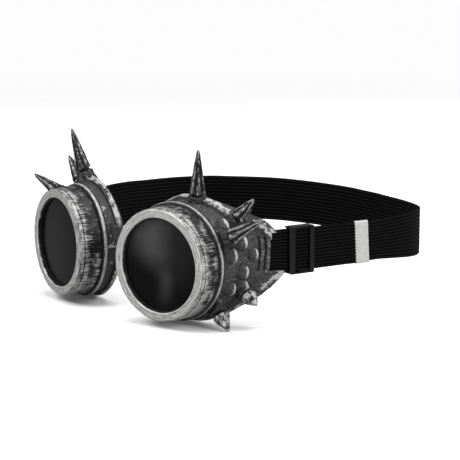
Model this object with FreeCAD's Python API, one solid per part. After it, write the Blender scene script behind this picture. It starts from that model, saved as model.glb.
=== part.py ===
import FreeCAD, Part
import math
import os

# Spiked goggles: two screw-bezel eye cups joined by a flexible nose bridge,
# with a ribbed elastic head strap and a tri-glide slider. Millimetres.
# Row frame: +X wearer's left, -Y the way the wearer looks, +Z up,
# origin between the face rims at eye height.

# ---------------------------------------------------------------- dimensions
SPLAY = 10.2            # each lens axis turns outward by this angle, degrees
LENS_SPACING = 82.65    # distance between lens-plane centres
RIM_Y = 26.0            # depth of the origin behind the lens plane

APERTURE_R = 23.25      # clear opening in the bezel lip
BEZEL_R = 27.65         # front rim of the bezel
BEZEL_SKIRT_R = 28.15   # rear of the bezel skirt
BEZEL_DEPTH = 12.2
THREAD_R = 26.0         # collar radius under the bezel
THREAD_GAP = 0.05
THREAD_TRAVEL = 5.0     # axial travel of the bezel as it unscrews

LENS_R = 25.0
LENS_FRONT, LENS_BACK = 2.6, 4.8
GASKET_IN, GASKET_OUT = 22.4, 25.6
GASKET_FRONT = 1.7      # just clear of the bezel lip, which turns over it

COLLAR_FRONT = 4.9
COLLAR_BORE = 23.2
BEAD_R = 29.5           # bright shoulder bead behind the bezel
SHOULDER_R, SHOULDER_D = 28.4, 15.0
WALL = 2.4
FLANGE_OUT, FLANGE_DEEP = 1.8, 3.6

# outer edge of the face rim about the lens axis, every 22.5 degrees from the temple
RIM_R = [44.8, 45.0, 39.2, 34.8, 32.6, 30.9, 30.4, 31.2,
         30.3, 28.0, 27.8, 29.0, 31.0, 32.0, 34.0, 38.8]
# face surface: depth = D0 + CURVE * u^3 - TWIST * u * w on the temple side
FACE_D0, FACE_CURVE, FACE_TWIST = 24.4, 0.00025, 0.0035

BOSS_R = 4.2
NECK_R, NECK_LEN = 2.6, 0.9
SPIKE_GAP = 0.3         # relief cut in the cup round each spike
STUD_R, STUD_HOLE_R = 1.25, 1.3
HEAD_R, HEAD_LEN, CBORE_R = 2.5, 1.6, 3.0
BOSS_FLOOR = 2.2

# spikes: name, foot (u, w, d), tip (u, w, d), foot radius
SPIKES_LEFT = [
    ("spike_top",         (7.7, 33.6, 21.2),  (11.7, 55.3, 17.1), 4.1),
    ("spike_mid",         (29.5, 23.7, 26.3), (38.5, 32.8, 25.9), 4.0),
    ("spike_side",        (33.3, 15.9, 16.8), (51.7, 25.7, 15.8), 4.2),
    ("short_spike_rear",  (34.5, -15.1, 27.0), (41.9, -18.2, 24.4), 4.4),
    ("short_spike_front", (24.9, -24.0, 17.4), (31.2, -31.0, 15.9), 4.5),
]
SPIKES_RIGHT = [
    ("spike_top",         (7.9, 36.1, 20.3),  (9.4, 57.0, 14.6), 4.1),
    ("spike_mid",         (22.9, 28.2, 25.6), (34.8, 39.4, 25.1), 4.0),
    ("spike_side",        (31.0, 21.0, 17.0), (51.5, 28.3, 12.5), 4.2),
    ("short_spike_rear",  (37.3, -7.6, 26.6), (44.8, -9.2, 24.4), 4.4),
    ("short_spike_front", (27.2, -21.0, 17.4), (33.6, -26.8, 15.9), 4.5),
]

# hooded vents on the temple panel: angle about the lens axis, depth
VENTS = [(39.6, 19.9), (19.6, 25.3), (10.4, 20.2), (8.7, 29.4),
         (-4.9, 25.6), (-20.8, 21.0), (-18.0, 26.8)]
VENT_R = 2.9

SLITS = [(31.6, 32.8), (34.4, 35.6)]   # depth range of the two lug slits
SLIT_W = (-3.0, 14.0)

STRAP_ANGLE = 9.0       # the strap leaves the lug turned outward by this
BAR_X, BAR_Y, BAR_R = 67.3, 37.5, 1.3   # strap bar in the lug, lens-plane frame
STRAP_T = 1.2
STRAP_LAYER = 2.0       # layer centre from the bar's plane
SIDE_Z = (-5.0, 15.0)   # strap height range along the sides
BACK_Z = (-7.5, 17.5)   # strap height range round the back
LEFT_RUN, RIGHT_RUN = 80.0, 53.0        # straight runs from the bars
CORNER_L = 118.5                        # left run to its rear corner
BACK_PTS = [(8.0, 174.0), (-54.0, 162.0)]
CORNER_R = 78.0
FILLETS = [35.0, 160.0, 45.0, 70.0]
RETURN_RUN = 29.65      # strap layer from the bar back to behind the slider's middle bar
RETURN_HOOK = 0.9       # height to which its end turns up behind that bar
RIM_END = 13.15         # the cup ends this far behind the bar at strap height
RIM_SLANT = 12.6        # and its end leans forward towards the top, degrees
LUG_END = 7.2           # the lug's front bar ends here, short of the open passage
# wing corners above and below the strap: strap run, height, slant in degrees
WINGS = [(10.9, 15.0, 40.4), (15.4, -5.4, -38.7)]
SEWN_RUN = 20.0         # sewn-down layer on the right
SEWN_SLOPE = (5.0, 13.0)   # it crosses over to the main layer between these
WIDE_FROM = 18.0        # the right run is full width from here

SLIDER = (19.7, 34.6)   # slider along the strap run
SLIDER_Z = (-6.8, 16.6)
SLIDER_N = (-1.0, 4.6)  # inner and outer face from the bar's plane
SLIDER_RAIL = 1.4
SLIDER_TRAVEL = (-3.0, 25.0)
TAG = (61.0, 69.0)

BRIDGE_Y, BRIDGE_T = 13.6, 1.6
BRIDGE_Z = (3.8, 11.4)
BRIDGE_ANCHOR_X, BRIDGE_ANCHOR_R = 15.9, 2.1

V = FreeCAD.Vector
S, C = math.sin(math.radians(SPLAY)), math.cos(math.radians(SPLAY))
os.makedirs("parts", exist_ok=True)


# ------------------------------------------------------------------- helpers
def rim_depth(u, w):
    u = max(u, 0.0)
    return FACE_D0 + FACE_CURVE * u ** 3 - FACE_TWIST * u * w


def flare_table():
    out = []
    for k, r in enumerate(RIM_R):
        r -= FLANGE_OUT
        u, w = r * math.cos(math.radians(22.5 * k)), r * math.sin(math.radians(22.5 * k))
        out.append(SHOULDER_R + (r - SHOULDER_R) * 35.0 / (rim_depth(u, w) - SHOULDER_D))
    return out


FLARE = flare_table()


def flare(theta):
    """Wall radius 35 mm behind the shoulder, smooth round the cup."""
    x = (theta / (2 * math.pi) * 16.0) % 16.0
    k = int(x)
    f = x - k
    p0, p1, p2, p3 = (FLARE[(k + j) % 16] for j in (-1, 0, 1, 2))
    return 0.5 * (2 * p1 + (p2 - p0) * f + (2 * p0 - 5 * p1 + 4 * p2 - p3) * f * f
                  + (3 * p1 - p0 - 3 * p2 + p3) * f ** 3)


def wall_r(theta, d):
    return SHOULDER_R + (flare(theta) - SHOULDER_R) * (d - SHOULDER_D) / 35.0


def L(u, w, d):
    """Cup coordinates (outward, up, depth) as a local vector."""
    return V(u, w, -d)


def place(shape):
    """From cup coordinates to the left cup's place in the row frame."""
    m = FreeCAD.Matrix(C, 0, S, LENS_SPACING / 2, S, 0, -C, -RIM_Y, 0, 1, 0, 0, 0, 0, 0, 1)
    out = shape.copy()
    out.Placement = FreeCAD.Placement(m).multiply(out.Placement)
    return out


def mirror(shape):
    return shape.mirror(V(0, 0, 0), V(1, 0, 0))


def lathe(profile):
    pts = [V(r, 0, -d) for r, d in profile]
    face = Part.Face(Part.makePolygon(pts + [pts[0]]))
    return face.revolve(V(0, 0, 0), V(0, 0, 1), 360)


def loft_body(off, d_lo, d_hi, n=32):
    wires = []
    for d in (d_lo, d_hi):
        pts = []
        for k in range(n):
            t = 2 * math.pi * k / n
            r = wall_r(t, d) + off
            pts.append(L(r * math.cos(t), r * math.sin(t), d))
        bs = Part.BSplineCurve()
        bs.interpolate(Points=pts, PeriodicFlag=True)
        wires.append(Part.Wire([bs.toShape()]))
    return Part.makeLoft(wires, True, True)


def before_face(off):
    """Everything in front of the face surface, moved back by off."""
    wires = []
    for w in (-70, 70):
        q = [L(u, w, rim_depth(u, w) + off) for u in (0.0, 10.0, 20.0, 30.0, 40.0, 50.0, 62.0)]
        bs = Part.BSplineCurve()
        bs.interpolate(q)
        a, b, c = V(-70, w, 12), V(62, w, 12), L(-70, w, FACE_D0 + off)
        wires.append(Part.Wire([Part.LineSegment(a, b).toShape(), Part.LineSegment(b, q[-1]).toShape(),
                                bs.toShape(), Part.LineSegment(q[0], c).toShape(),
                                Part.LineSegment(c, a).toShape()]))
    return Part.makeLoft(wires, True, True)


def rod(p, axis, r, t0, t1):
    """Cylinder about the line p + t * axis between t0 and t1."""
    return Part.makeCylinder(r, t1 - t0, p + axis * t0, axis)


ST = V(math.sin(math.radians(STRAP_ANGLE)), math.cos(math.radians(STRAP_ANGLE)), 0)
SN = V(ST.y, -ST.x, 0)
BAR = V(BAR_X, BAR_Y - RIM_Y, 0)


def strap_box(s0, s1, n0, n1, z0, z1):
    """Box in the left strap's run: along, outward, up."""
    b = Part.makeBox(s1 - s0, n1 - n0, z1 - z0)
    m = FreeCAD.Matrix(ST.x, SN.x, 0, 0, ST.y, SN.y, 0, 0, 0, 0, -1, 0, 0, 0, 0, 1)
    b.Placement = FreeCAD.Placement(m)
    return b.translated(BAR + ST * s0 + SN * n0 + V(0, 0, z1))


def band(centre_pts, radii, z0, z1, t):
    """Strip of webbing on edge: straight runs joined by tangent arcs."""
    segs = []
    cur = centre_pts[0]
    for k in range(1, len(centre_pts) - 1):
        p, a, b = centre_pts[k], centre_pts[k - 1], centre_pts[k + 1]
        d0, d1 = (p - a).normalize(), (b - p).normalize()
        turn = math.acos(max(-1.0, min(1.0, d0.dot(d1))))
        tl = radii[k - 1] * math.tan(turn / 2)
        e0, e1 = p - d0 * tl, p + d1 * tl
        bis = (d1 - d0).normalize()
        ctr = p + bis * (radii[k - 1] / math.cos(turn / 2))
        segs.append(("line", cur, e0))
        segs.append(("arc", e0, ctr - bis * radii[k - 1], e1, ctr))
        cur = e1
    segs.append(("line", cur, centre_pts[-1]))
    solids = []
    for sg in segs:
        if sg[0] == "line":
            a, b = sg[1], sg[2]
            if (b - a).Length < 0.01:
                continue
            d = (b - a).normalize()
            n = V(d.y, -d.x, 0) * (t / 2)
            pts = [a + n, b + n, b - n, a - n]
            face = Part.Face(Part.makePolygon(pts + [pts[0]]))
        else:
            e0, mid, e1, ctr = sg[1:]

            def off(q, h):
                return ctr + (q - ctr).normalize() * ((q - ctr).Length + h)
            h = t / 2
            a1 = Part.Arc(off(e0, h), off(mid, h), off(e1, h)).toShape()
            a2 = Part.Arc(off(e1, -h), off(mid, -h), off(e0, -h)).toShape()
            l1 = Part.LineSegment(off(e1, h), off(e1, -h)).toShape()
            l2 = Part.LineSegment(off(e0, -h), off(e0, h)).toShape()
            face = Part.Face(Part.Wire([a1, l1, a2, l2]))
        solids.append(face.extrude(V(0, 0, z1 - z0)).translated(V(0, 0, z0)))
    body = solids[0]
    for s in solids[1:]:
        body = body.fuse(s)
    return body.removeSplitter() if len(solids) > 1 else body


def save(name, shape):
    sol = shape.Solids
    assert sol and shape.isValid(), name
    shape = sol[0] if len(sol) == 1 else Part.makeCompound(sol)
    shape.exportStep("parts/%s.step" % name)
    print("%-26s %2d solid %9.1f mm3" % (name, len(sol), shape.Volume))


# ---------------------------------------------------------- turned ring parts
BORE = THREAD_R + THREAD_GAP
bezel_local = lathe([
    (APERTURE_R, 0.5), (APERTURE_R + 0.35, 0.0), (26.6, 0.0), (27.3, 0.35), (BEZEL_R, 1.1),
    (BEZEL_R, 2.7), (27.35, 3.0), (BEZEL_R + 0.1, 3.3), (BEZEL_SKIRT_R, 11.6), (27.7, BEZEL_DEPTH),
    (BORE, BEZEL_DEPTH), (BORE, 1.6), (APERTURE_R, 1.6)])
gasket_local = lathe([(GASKET_IN, GASKET_FRONT), (GASKET_OUT, GASKET_FRONT),
                      (GASKET_OUT, LENS_FRONT), (GASKET_IN, LENS_FRONT)])
lens_local = Part.makeCylinder(LENS_R, LENS_BACK - LENS_FRONT, L(0, 0, LENS_BACK), V(0, 0, 1))


# ------------------------------------------------------------------- eye cups
def eye_cup(spikes):
    front = before_face(0)
    wall = loft_body(0, SHOULDER_D, 52).common(front)
    outer = wall
    flange = loft_body(FLANGE_OUT, SHOULDER_D, 52).common(front).cut(before_face(-FLANGE_DEEP))
    collar = lathe([
        (0, COLLAR_FRONT), (THREAD_R, COLLAR_FRONT), (THREAD_R, 13.0), (BEAD_R - 0.9, 12.8), (BEAD_R - 0.25, 13.1),
        (BEAD_R, 13.9), (BEAD_R - 0.25, 14.7), (BEAD_R - 0.8, 15.0), (SHOULDER_R - 0.2, 15.2),
        (SHOULDER_R - 0.2, 16.2), (0, 16.2)])
    body = wall.fuse([flange, collar])
    for name, foot, tip, r in spikes:
        p, q = L(*foot), L(*tip)
        a = (q - p).normalize()
        body = body.fuse(rod(p, a, BOSS_R, -9.0, -NECK_LEN))
    domes = []
    for ang, d in VENTS:
        t = math.radians(ang)
        r = wall_r(t, d) - 1.0
        domes.append(Part.makeSphere(VENT_R, L(r * math.cos(t), r * math.sin(t), d)))
    body = body.fuse(domes)
    inner = loft_body(-WALL, SHOULDER_D + 0.5, 54)
    body = body.cut(inner)
    body = body.cut(Part.makeCylinder(COLLAR_BORE, 20, L(0, 0, 22), V(0, 0, 1)))
    for name, foot, tip, r in spikes:
        p, q = L(*foot), L(*tip)
        a = (q - p).normalize()
        body = body.cut(rod(p, a, STUD_HOLE_R, -14.0, 2.0))
        body = body.cut(rod(p, a, CBORE_R, -14.0, -NECK_LEN - BOSS_FLOOR))
    for ang, d in VENTS:
        t = math.radians(ang)
        a = V(math.cos(t), math.sin(t), 0)
        r = wall_r(t, d)
        body = body.cut(rod(L(0, 0, d + 1.2), a, 1.1, r - 6.0, r + 0.6))
    for d0, d1 in SLITS:
        body = body.cut(Part.makeBox(24, SLIT_W[1] - SLIT_W[0], d1 - d0, L(30, SLIT_W[0], d1)))
    # relief round each spike where the flange or wall rises beside it
    for name, foot, tip, r in spikes:
        p, q = L(*foot), L(*tip)
        body = body.cut(rod(p, (q - p).normalize(), r + SPIKE_GAP, -NECK_LEN, (q - p).Length + 1.0))
    body = place(body)
    # passage for the two strap layers round the bar
    body = body.cut(strap_box(-3.2, 30, -3.0, 3.0, SIDE_Z[0] - 0.4, SIDE_Z[1] + 0.4))
    # strap bar in the lug, on two tabs inside the temple wall
    fill = place(outer)
    lug = strap_box(-2.6, 2.6, -2.6, 9.0, SIDE_Z[1] + 0.5, SIDE_Z[1] + 3.0)
    lug = lug.fuse(strap_box(-2.6, 2.6, -2.6, 9.0, SIDE_Z[0] - 3.0, SIDE_Z[0] - 0.5))
    lug = lug.common(fill)
    bar = Part.makeCylinder(BAR_R, SIDE_Z[1] - SIDE_Z[0] + 4.0, BAR + V(0, 0, SIDE_Z[0] - 2.0))
    body = body.fuse([lug, bar])
    for name, foot, tip, r in spikes:
        p, q = L(*foot), L(*tip)
        body = body.cut(place(rod(p, (q - p).normalize(), CBORE_R, -14.0, -NECK_LEN - BOSS_FLOOR)))
    # the passage opens outward behind the lug's front bar
    body = body.cut(strap_box(LUG_END, 30, -3.0, 16.0, SIDE_Z[0] - 0.4, SIDE_Z[1] + 0.4))
    # the temple end of the rim is trimmed across the strap
    end = strap_box(RIM_END, 70, -30.0, 40.0, -70, 80)
    end.rotate(BAR + ST * RIM_END + V(0, 0, (SIDE_Z[0] + SIDE_Z[1]) / 2), SN, RIM_SLANT)
    body = body.cut(end)
    for run, z, slant in WINGS:
        end = strap_box(run, run + 60, -30.0, 40.0, z - 70, z + 70)
        end.rotate(BAR + ST * run + V(0, 0, z), SN, slant)
        body = body.cut(end)
    # slot for the nose bridge
    slot = Part.makeBox(9.4, BRIDGE_T + 0.6, BRIDGE_Z[1] - BRIDGE_Z[0] + 0.6,
                        V(7.0, BRIDGE_Y - RIM_Y - BRIDGE_T / 2 - 0.3, BRIDGE_Z[0] - 0.3))
    seat = Part.makeCylinder(BRIDGE_ANCHOR_R + 0.3, BRIDGE_Z[1] - BRIDGE_Z[0] + 0.6,
                             V(BRIDGE_ANCHOR_X, BRIDGE_Y - RIM_Y, BRIDGE_Z[0] - 0.3))
    body = body.cut(slot).cut(seat)
    big = max(body.Solids, key=lambda s: s.Volume)
    return big


def spike(foot, tip, r, short):
    p, q = L(*foot), L(*tip)
    a = (q - p).normalize()
    h = (q - p).Length
    if short:
        body = Part.makeCone(r, 0.6, h - 0.8, p + a * 0.8, a)
        body = body.fuse(Part.makeCone(r - 0.5, r, 0.8, p, a))
        hole = 3.2
    else:
        body = Part.makeCone(r - 0.5, 0.45, h - 1.2, p + a * 1.2, a)
        body = body.fuse(Part.makeCylinder(r, 1.2, p, a))
        hole = 7.0
    body = body.fuse(rod(p, a, NECK_R, -NECK_LEN, 0))
    return place(body.cut(rod(p, a, STUD_HOLE_R, -NECK_LEN - 1, hole))), place(
        rod(p, a, STUD_R, -NECK_LEN - BOSS_FLOOR, hole - 0.3).fuse(
            rod(p, a, HEAD_R, -NECK_LEN - BOSS_FLOOR - HEAD_LEN, -NECK_LEN - BOSS_FLOOR)))


for side, spikes in (("left", SPIKES_LEFT), ("right", SPIKES_RIGHT)):
    put = (lambda s: s) if side == "left" else mirror
    save(side + "_eye_cup", put(eye_cup(spikes)))
    save(side + "_bezel", put(place(bezel_local)))
    save(side + "_lens", put(place(lens_local)))
    save(side + "_lens_gasket", put(place(gasket_local)))
    screws = []
    for name, foot, tip, r in spikes:
        s, screw = spike(foot, tip, r, name.startswith("short"))
        save("%s_%s" % (side, name), put(s))
        screws.append(put(screw))
    save(side + "_spike_screws", Part.makeCompound(screws))

# ---------------------------------------------------------------- nose bridge
y0 = BRIDGE_Y - RIM_Y
z0, z1 = BRIDGE_Z
bridge = Part.makeBox(2 * BRIDGE_ANCHOR_X, BRIDGE_T, z1 - z0, V(-BRIDGE_ANCHOR_X, y0 - BRIDGE_T / 2, z0))
for zb in (z0, z1 - 1.2):
    bridge = bridge.fuse(Part.makeBox(15.0, 0.5, 1.2, V(-7.5, y0 - BRIDGE_T / 2 - 0.5, zb)))
for sx in (-1, 1):
    bridge = bridge.fuse(Part.makeCylinder(BRIDGE_ANCHOR_R, z1 - z0, V(sx * BRIDGE_ANCHOR_X, y0, z0)))
save("nose_bridge", bridge.removeSplitter())

# ---------------------------------------------------------------------- strap
H = STRAP_T / 2


def turn_round_bar():
    """The strap's fold round the front of the lug bar."""
    ring = Part.makeCylinder(STRAP_LAYER + H, SIDE_Z[1] - SIDE_Z[0], BAR + V(0, 0, SIDE_Z[0]))
    ring = ring.cut(Part.makeCylinder(STRAP_LAYER - H, SIDE_Z[1] - SIDE_Z[0], BAR + V(0, 0, SIDE_Z[0])))
    return ring.common(strap_box(-4, 0, -4, 4, SIDE_Z[0], SIDE_Z[1]))


def strip(pts):
    """Strip of webbing on edge from its outline in the strap's run."""
    q = [BAR + ST * s + SN * n + V(0, 0, SIDE_Z[0]) for s, n in pts]
    return Part.Face(Part.makePolygon(q + [q[0]])).extrude(V(0, 0, SIDE_Z[1] - SIDE_Z[0]))


outer_run = strap_box(0, LEFT_RUN, STRAP_LAYER - H, STRAP_LAYER + H, *SIDE_Z)
save("strap_left", turn_round_bar().fuse(outer_run).removeSplitter())
lo, hi = -STRAP_LAYER - H, -STRAP_LAYER + H
hook = RETURN_RUN - STRAP_T
save("strap_return", strip([(0, lo), (RETURN_RUN, lo), (RETURN_RUN, RETURN_HOOK), (hook, RETURN_HOOK), (hook, hi), (0, hi)]))
g0, g1 = SEWN_SLOPE
top = STRAP_LAYER - H
sewn = strip([(0, lo), (g0, lo), (g1, top - STRAP_T), (SEWN_RUN, top - STRAP_T), (SEWN_RUN, top), (g1 - 0.4, top), (g0 - 0.4, hi), (0, hi)])
right = turn_round_bar().fuse([strap_box(0, WIDE_FROM + 1, STRAP_LAYER - H, STRAP_LAYER + H, *SIDE_Z),
                               strap_box(WIDE_FROM, RIGHT_RUN, STRAP_LAYER - H, STRAP_LAYER + H, *BACK_Z),
                               sewn])
save("strap_right", mirror(right.removeSplitter()))

p0 = BAR + SN * STRAP_LAYER
a = p0 + ST * LEFT_RUN
b = p0 + ST * CORNER_L
r0, r1 = p0 + ST * CORNER_R, p0 + ST * RIGHT_RUN
r0, r1 = V(-r0.x, r0.y, 0), V(-r1.x, r1.y, 0)
back = [a, b] + [V(x, y - RIM_Y, 0) for x, y in BACK_PTS] + [r0, r1]
save("strap_back", band(back, FILLETS, BACK_Z[0], BACK_Z[1], STRAP_T))

save("strap_tag", strap_box(TAG[0], TAG[1], STRAP_LAYER + H, STRAP_LAYER + H + 0.4, SIDE_Z[0], SIDE_Z[1]))

# --------------------------------------------------------------------- slider
s0, s1 = SLIDER
n0, n1 = SLIDER_N
sl = strap_box(s0, s1, n0, n1, SLIDER_Z[0], SLIDER_Z[0] + SLIDER_RAIL)
sl = sl.fuse([
    strap_box(s0, s1, n0, n1, SLIDER_Z[1] - SLIDER_RAIL, SLIDER_Z[1]),
    strap_box(s0, s0 + 3.5, n1 - 1.6, n1, *SLIDER_Z),
    strap_box(s1 - 2.3, s1, n1 - 1.6, n1, *SLIDER_Z),
    strap_box((s0 + s1) / 2 - 1.0, (s0 + s1) / 2 + 1.0, n0, n0 + 2.0, *SLIDER_Z)])
save("strap_slider", sl.removeSplitter())
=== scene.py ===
import math

import bmesh
import bpy
import numpy as np
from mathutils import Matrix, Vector


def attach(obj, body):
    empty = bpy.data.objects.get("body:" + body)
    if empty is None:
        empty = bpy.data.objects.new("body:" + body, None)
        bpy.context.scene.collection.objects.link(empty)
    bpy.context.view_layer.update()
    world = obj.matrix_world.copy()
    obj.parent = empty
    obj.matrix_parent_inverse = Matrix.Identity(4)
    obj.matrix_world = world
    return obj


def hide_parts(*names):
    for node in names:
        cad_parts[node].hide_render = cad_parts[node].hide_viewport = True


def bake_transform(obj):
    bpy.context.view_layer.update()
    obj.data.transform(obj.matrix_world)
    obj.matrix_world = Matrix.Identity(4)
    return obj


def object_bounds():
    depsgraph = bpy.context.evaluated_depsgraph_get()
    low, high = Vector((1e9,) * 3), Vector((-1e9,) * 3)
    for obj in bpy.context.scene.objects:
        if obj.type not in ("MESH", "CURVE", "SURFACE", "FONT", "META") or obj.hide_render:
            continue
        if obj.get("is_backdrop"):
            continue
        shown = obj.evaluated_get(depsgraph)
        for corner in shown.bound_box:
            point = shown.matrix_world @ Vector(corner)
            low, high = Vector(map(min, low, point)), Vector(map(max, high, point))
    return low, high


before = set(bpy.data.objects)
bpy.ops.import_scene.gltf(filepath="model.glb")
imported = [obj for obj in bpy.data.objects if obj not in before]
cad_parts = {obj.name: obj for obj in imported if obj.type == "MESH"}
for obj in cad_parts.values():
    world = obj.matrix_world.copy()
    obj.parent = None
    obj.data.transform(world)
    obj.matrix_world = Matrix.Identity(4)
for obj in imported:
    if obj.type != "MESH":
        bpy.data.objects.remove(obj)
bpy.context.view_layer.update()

# Spiked goggles: dry-brushed silver over black cups, screw bezels, dark lenses,
# ribbed elastic strap. Lengths below are millimetres; meshes are made in metres.

MM = 0.001
PI2 = 2 * math.pi
rad = math.radians

# ------------------------------------------------------------- shared numbers
S, C = math.sin(rad(10.2)), math.cos(rad(10.2))
HALF_SPACING, RIM_Y = 41.325, 26.0
SHOULDER_R, SHOULDER_D = 28.4, 15.0
WALL, FLANGE_OUT, FLANGE_DEEP = 2.4, 1.8, 3.6
RIM_R = [44.8, 45.0, 39.2, 34.8, 32.6, 30.9, 30.4, 31.2,
         30.3, 28.0, 27.8, 29.0, 31.0, 32.0, 34.0, 38.8]
SPIKES = {
    "left": [
        ("spike_top", (7.7, 33.6, 21.2), (11.7, 55.3, 17.1), 4.1),
        ("spike_mid", (29.5, 23.7, 26.3), (38.5, 32.8, 25.9), 4.0),
        ("spike_side", (33.3, 15.9, 16.8), (51.7, 25.7, 15.8), 4.2),
        ("short_spike_rear", (34.5, -15.1, 27.0), (41.9, -18.2, 24.4), 4.4),
        ("short_spike_front", (24.9, -24.0, 17.4), (31.2, -31.0, 15.9), 4.5)],
    "right": [
        ("spike_top", (7.9, 36.1, 20.3), (9.4, 57.0, 14.6), 4.1),
        ("spike_mid", (22.9, 28.2, 25.6), (34.8, 39.4, 25.1), 4.0),
        ("spike_side", (31.0, 21.0, 17.0), (51.5, 28.3, 12.5), 4.2),
        ("short_spike_rear", (37.3, -7.6, 26.6), (44.8, -9.2, 24.4), 4.4),
        ("short_spike_front", (27.2, -21.0, 17.4), (33.6, -26.8, 15.9), 4.5)],
}
BEAD = [(28.6, 12.8), (28.95, 12.86), (29.22, 13.06), (29.4, 13.4), (29.5, 13.85), (29.44, 14.32), (29.25, 14.7),
        (28.98, 14.96), (28.6, 15.15)]
HOOD_C, HOOD_S = math.cos(rad(30.0)), math.sin(rad(30.0))
VENTS = [(38.0, 20.2), (19.6, 25.3), (10.4, 20.2), (8.7, 29.0),
         (-4.9, 25.6), (-20.8, 21.0), (-18.0, 26.8)]
SLITS = [(31.6, 32.8), (34.4, 35.6)]
STRAP_ANGLE = rad(9.0)
ST = np.array([math.sin(STRAP_ANGLE), math.cos(STRAP_ANGLE), 0.0])
SN = np.array([ST[1], -ST[0], 0.0])
BAR = np.array([67.3, 11.5, 0.0])
SIDE_Z = (-5.0, 15.0)
RIM_END, RIM_LEAN = 13.15, math.tan(rad(12.6))


# ------------------------------------------------------------------- numerics
def vnoise(p, seed=0):
    """Smooth value noise in -1..1, the same on every run."""
    p = np.asarray(p, float)
    i = np.floor(p).astype(np.int64)
    f = p - i
    f = f * f * (3 - 2 * f)
    out = np.zeros(len(p))
    for dx in (0, 1):
        for dy in (0, 1):
            for dz in (0, 1):
                n = ((i[:, 0] + dx) * 73856093) ^ ((i[:, 1] + dy) * 19349663) ^ ((i[:, 2] + dz) * 83492791)
                n = (n + seed * 97561) & 0x7FFFFFFF
                n = ((n ^ (n >> 13)) * 1274127) & 0x7FFFFFFF
                n = ((n ^ (n >> 11)) * 668265) & 0x7FFFFFFF
                h = ((n >> 8) & 0xFFFF) / 65535.0
                w = ((f[:, 0] if dx else 1 - f[:, 0]) * (f[:, 1] if dy else 1 - f[:, 1])
                     * (f[:, 2] if dz else 1 - f[:, 2]))
                out += w * h
    return out * 2 - 1


def sstep(a, b, x):
    t = np.clip((np.asarray(x, float) - a) / (b - a), 0, 1)
    return t * t * (3 - 2 * t)


def rim_depth(u, w):
    u = np.maximum(u, 0.0)
    return 24.4 + 0.00025 * u ** 3 - 0.0035 * u * w


FLARE = []
for k, r in enumerate(RIM_R):
    r -= FLANGE_OUT
    u, w = r * math.cos(rad(22.5 * k)), r * math.sin(rad(22.5 * k))
    FLARE.append(SHOULDER_R + (r - SHOULDER_R) * 35.0 / (float(rim_depth(u, w)) - SHOULDER_D))
FLARE = np.array(FLARE)


def flare(theta):
    x = (np.asarray(theta, float) / PI2 * 16.0) % 16.0
    k = np.floor(x).astype(int)
    f = x - k
    p0, p1, p2, p3 = (FLARE[(k + j) % 16] for j in (-1, 0, 1, 2))
    return 0.5 * (2 * p1 + (p2 - p0) * f + (2 * p0 - 5 * p1 + 4 * p2 - p3) * f * f
                  + (3 * p1 - p0 - 3 * p2 + p3) * f ** 3)


def wall_r(theta, d):
    return SHOULDER_R + (flare(theta) - SHOULDER_R) * (d - SHOULDER_D) / 35.0


def rim_face(u, w):
    """Depth of the face rim under a point, with the temple end cut off."""
    end = RIM_END - RIM_LEAN * (w - 5.0)
    end = np.minimum(end, 10.9 - 0.85 * (w - 15.0))
    end = np.minimum(end, 15.4 + 0.8 * (w + 5.4))
    return np.minimum(rim_depth(u, w), (end + 41.10 - 0.3289 * u) / 0.9444)


def rim_at(theta, off):
    """Depth of the face rim at this angle, for a wall offset."""
    theta = np.asarray(theta, float)
    d = np.full(theta.shape, 26.0)
    for _ in range(60):
        r = wall_r(theta, d) + off
        d = 0.5 * d + 0.5 * rim_face(r * np.cos(theta), r * np.sin(theta))
    return d


def wing(theta):
    """1 on the temple wings above and below the strap, 0 elsewhere."""
    t = (np.asarray(theta, float) + math.pi) % PI2 - math.pi
    start = np.where(t < 0, sstep(rad(5), rad(13), -t), sstep(rad(13), rad(24), t))
    return start * sstep(rad(58), rad(40), np.abs(t))


def cup_to_row(p, side):
    u, w, d = p[:, 0], p[:, 1], p[:, 2]
    x = HALF_SPACING + u * C - d * S
    y = -RIM_Y + u * S + d * C
    return np.stack([x if side == "left" else -x, y, w], 1)


def row_to_cup(p):
    x, y = p[:, 0] - HALF_SPACING, p[:, 1] + RIM_Y
    return np.stack([x * C + y * S, p[:, 2], -x * S + y * C], 1)


def strap_pt(s, n, z):
    return BAR + np.outer(s, ST) + np.outer(n, SN) + np.outer(z, (0, 0, 1.0))


# ------------------------------------------------------------------ mesh tools
def rows_solid(rows, pole0=None, pole1=None, wrap=False):
    """Closed skin from rings of points, with pole points or wrapped end to end."""
    nc = len(rows[0])
    v = np.concatenate([np.asarray(r, float) for r in rows])
    nr = len(rows)
    k = np.arange(nr if wrap else nr - 1)[:, None]
    c = np.arange(nc)[None, :]
    c1, k1 = (c + 1) % nc, (k + 1) % nr
    faces = np.stack([k * nc + c, k * nc + c1, k1 * nc + c1, k1 * nc + c], -1).reshape(-1, 4).tolist()
    ci = np.arange(nc)
    if pole0 is not None:
        v = np.vstack([v, pole0])
        faces += np.stack([(ci + 1) % nc, ci, np.full(nc, len(v) - 1)], 1).tolist()
    if pole1 is not None:
        v = np.vstack([v, pole1])
        b = (nr - 1) * nc
        faces += np.stack([b + ci, b + (ci + 1) % nc, np.full(nc, len(v) - 1)], 1).tolist()
    return outward(v, faces)


def outward(v, faces):
    v = np.asarray(v, float)
    tri = np.array([(f[0], f[j], f[j + 1]) for f in faces for j in range(1, len(f) - 1)])
    vol = np.einsum("ij,ij->i", v[tri[:, 0]], np.cross(v[tri[:, 1]], v[tri[:, 2]])).sum()
    return (v, faces) if vol > 0 else (v, [f[::-1] for f in faces])


def joined(*solids):
    vs, fs, n = [], [], 0
    for v, f in solids:
        vs.append(v)
        fs += [[i + n for i in q] for q in f]
        n += len(v)
    return np.concatenate(vs), fs


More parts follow.
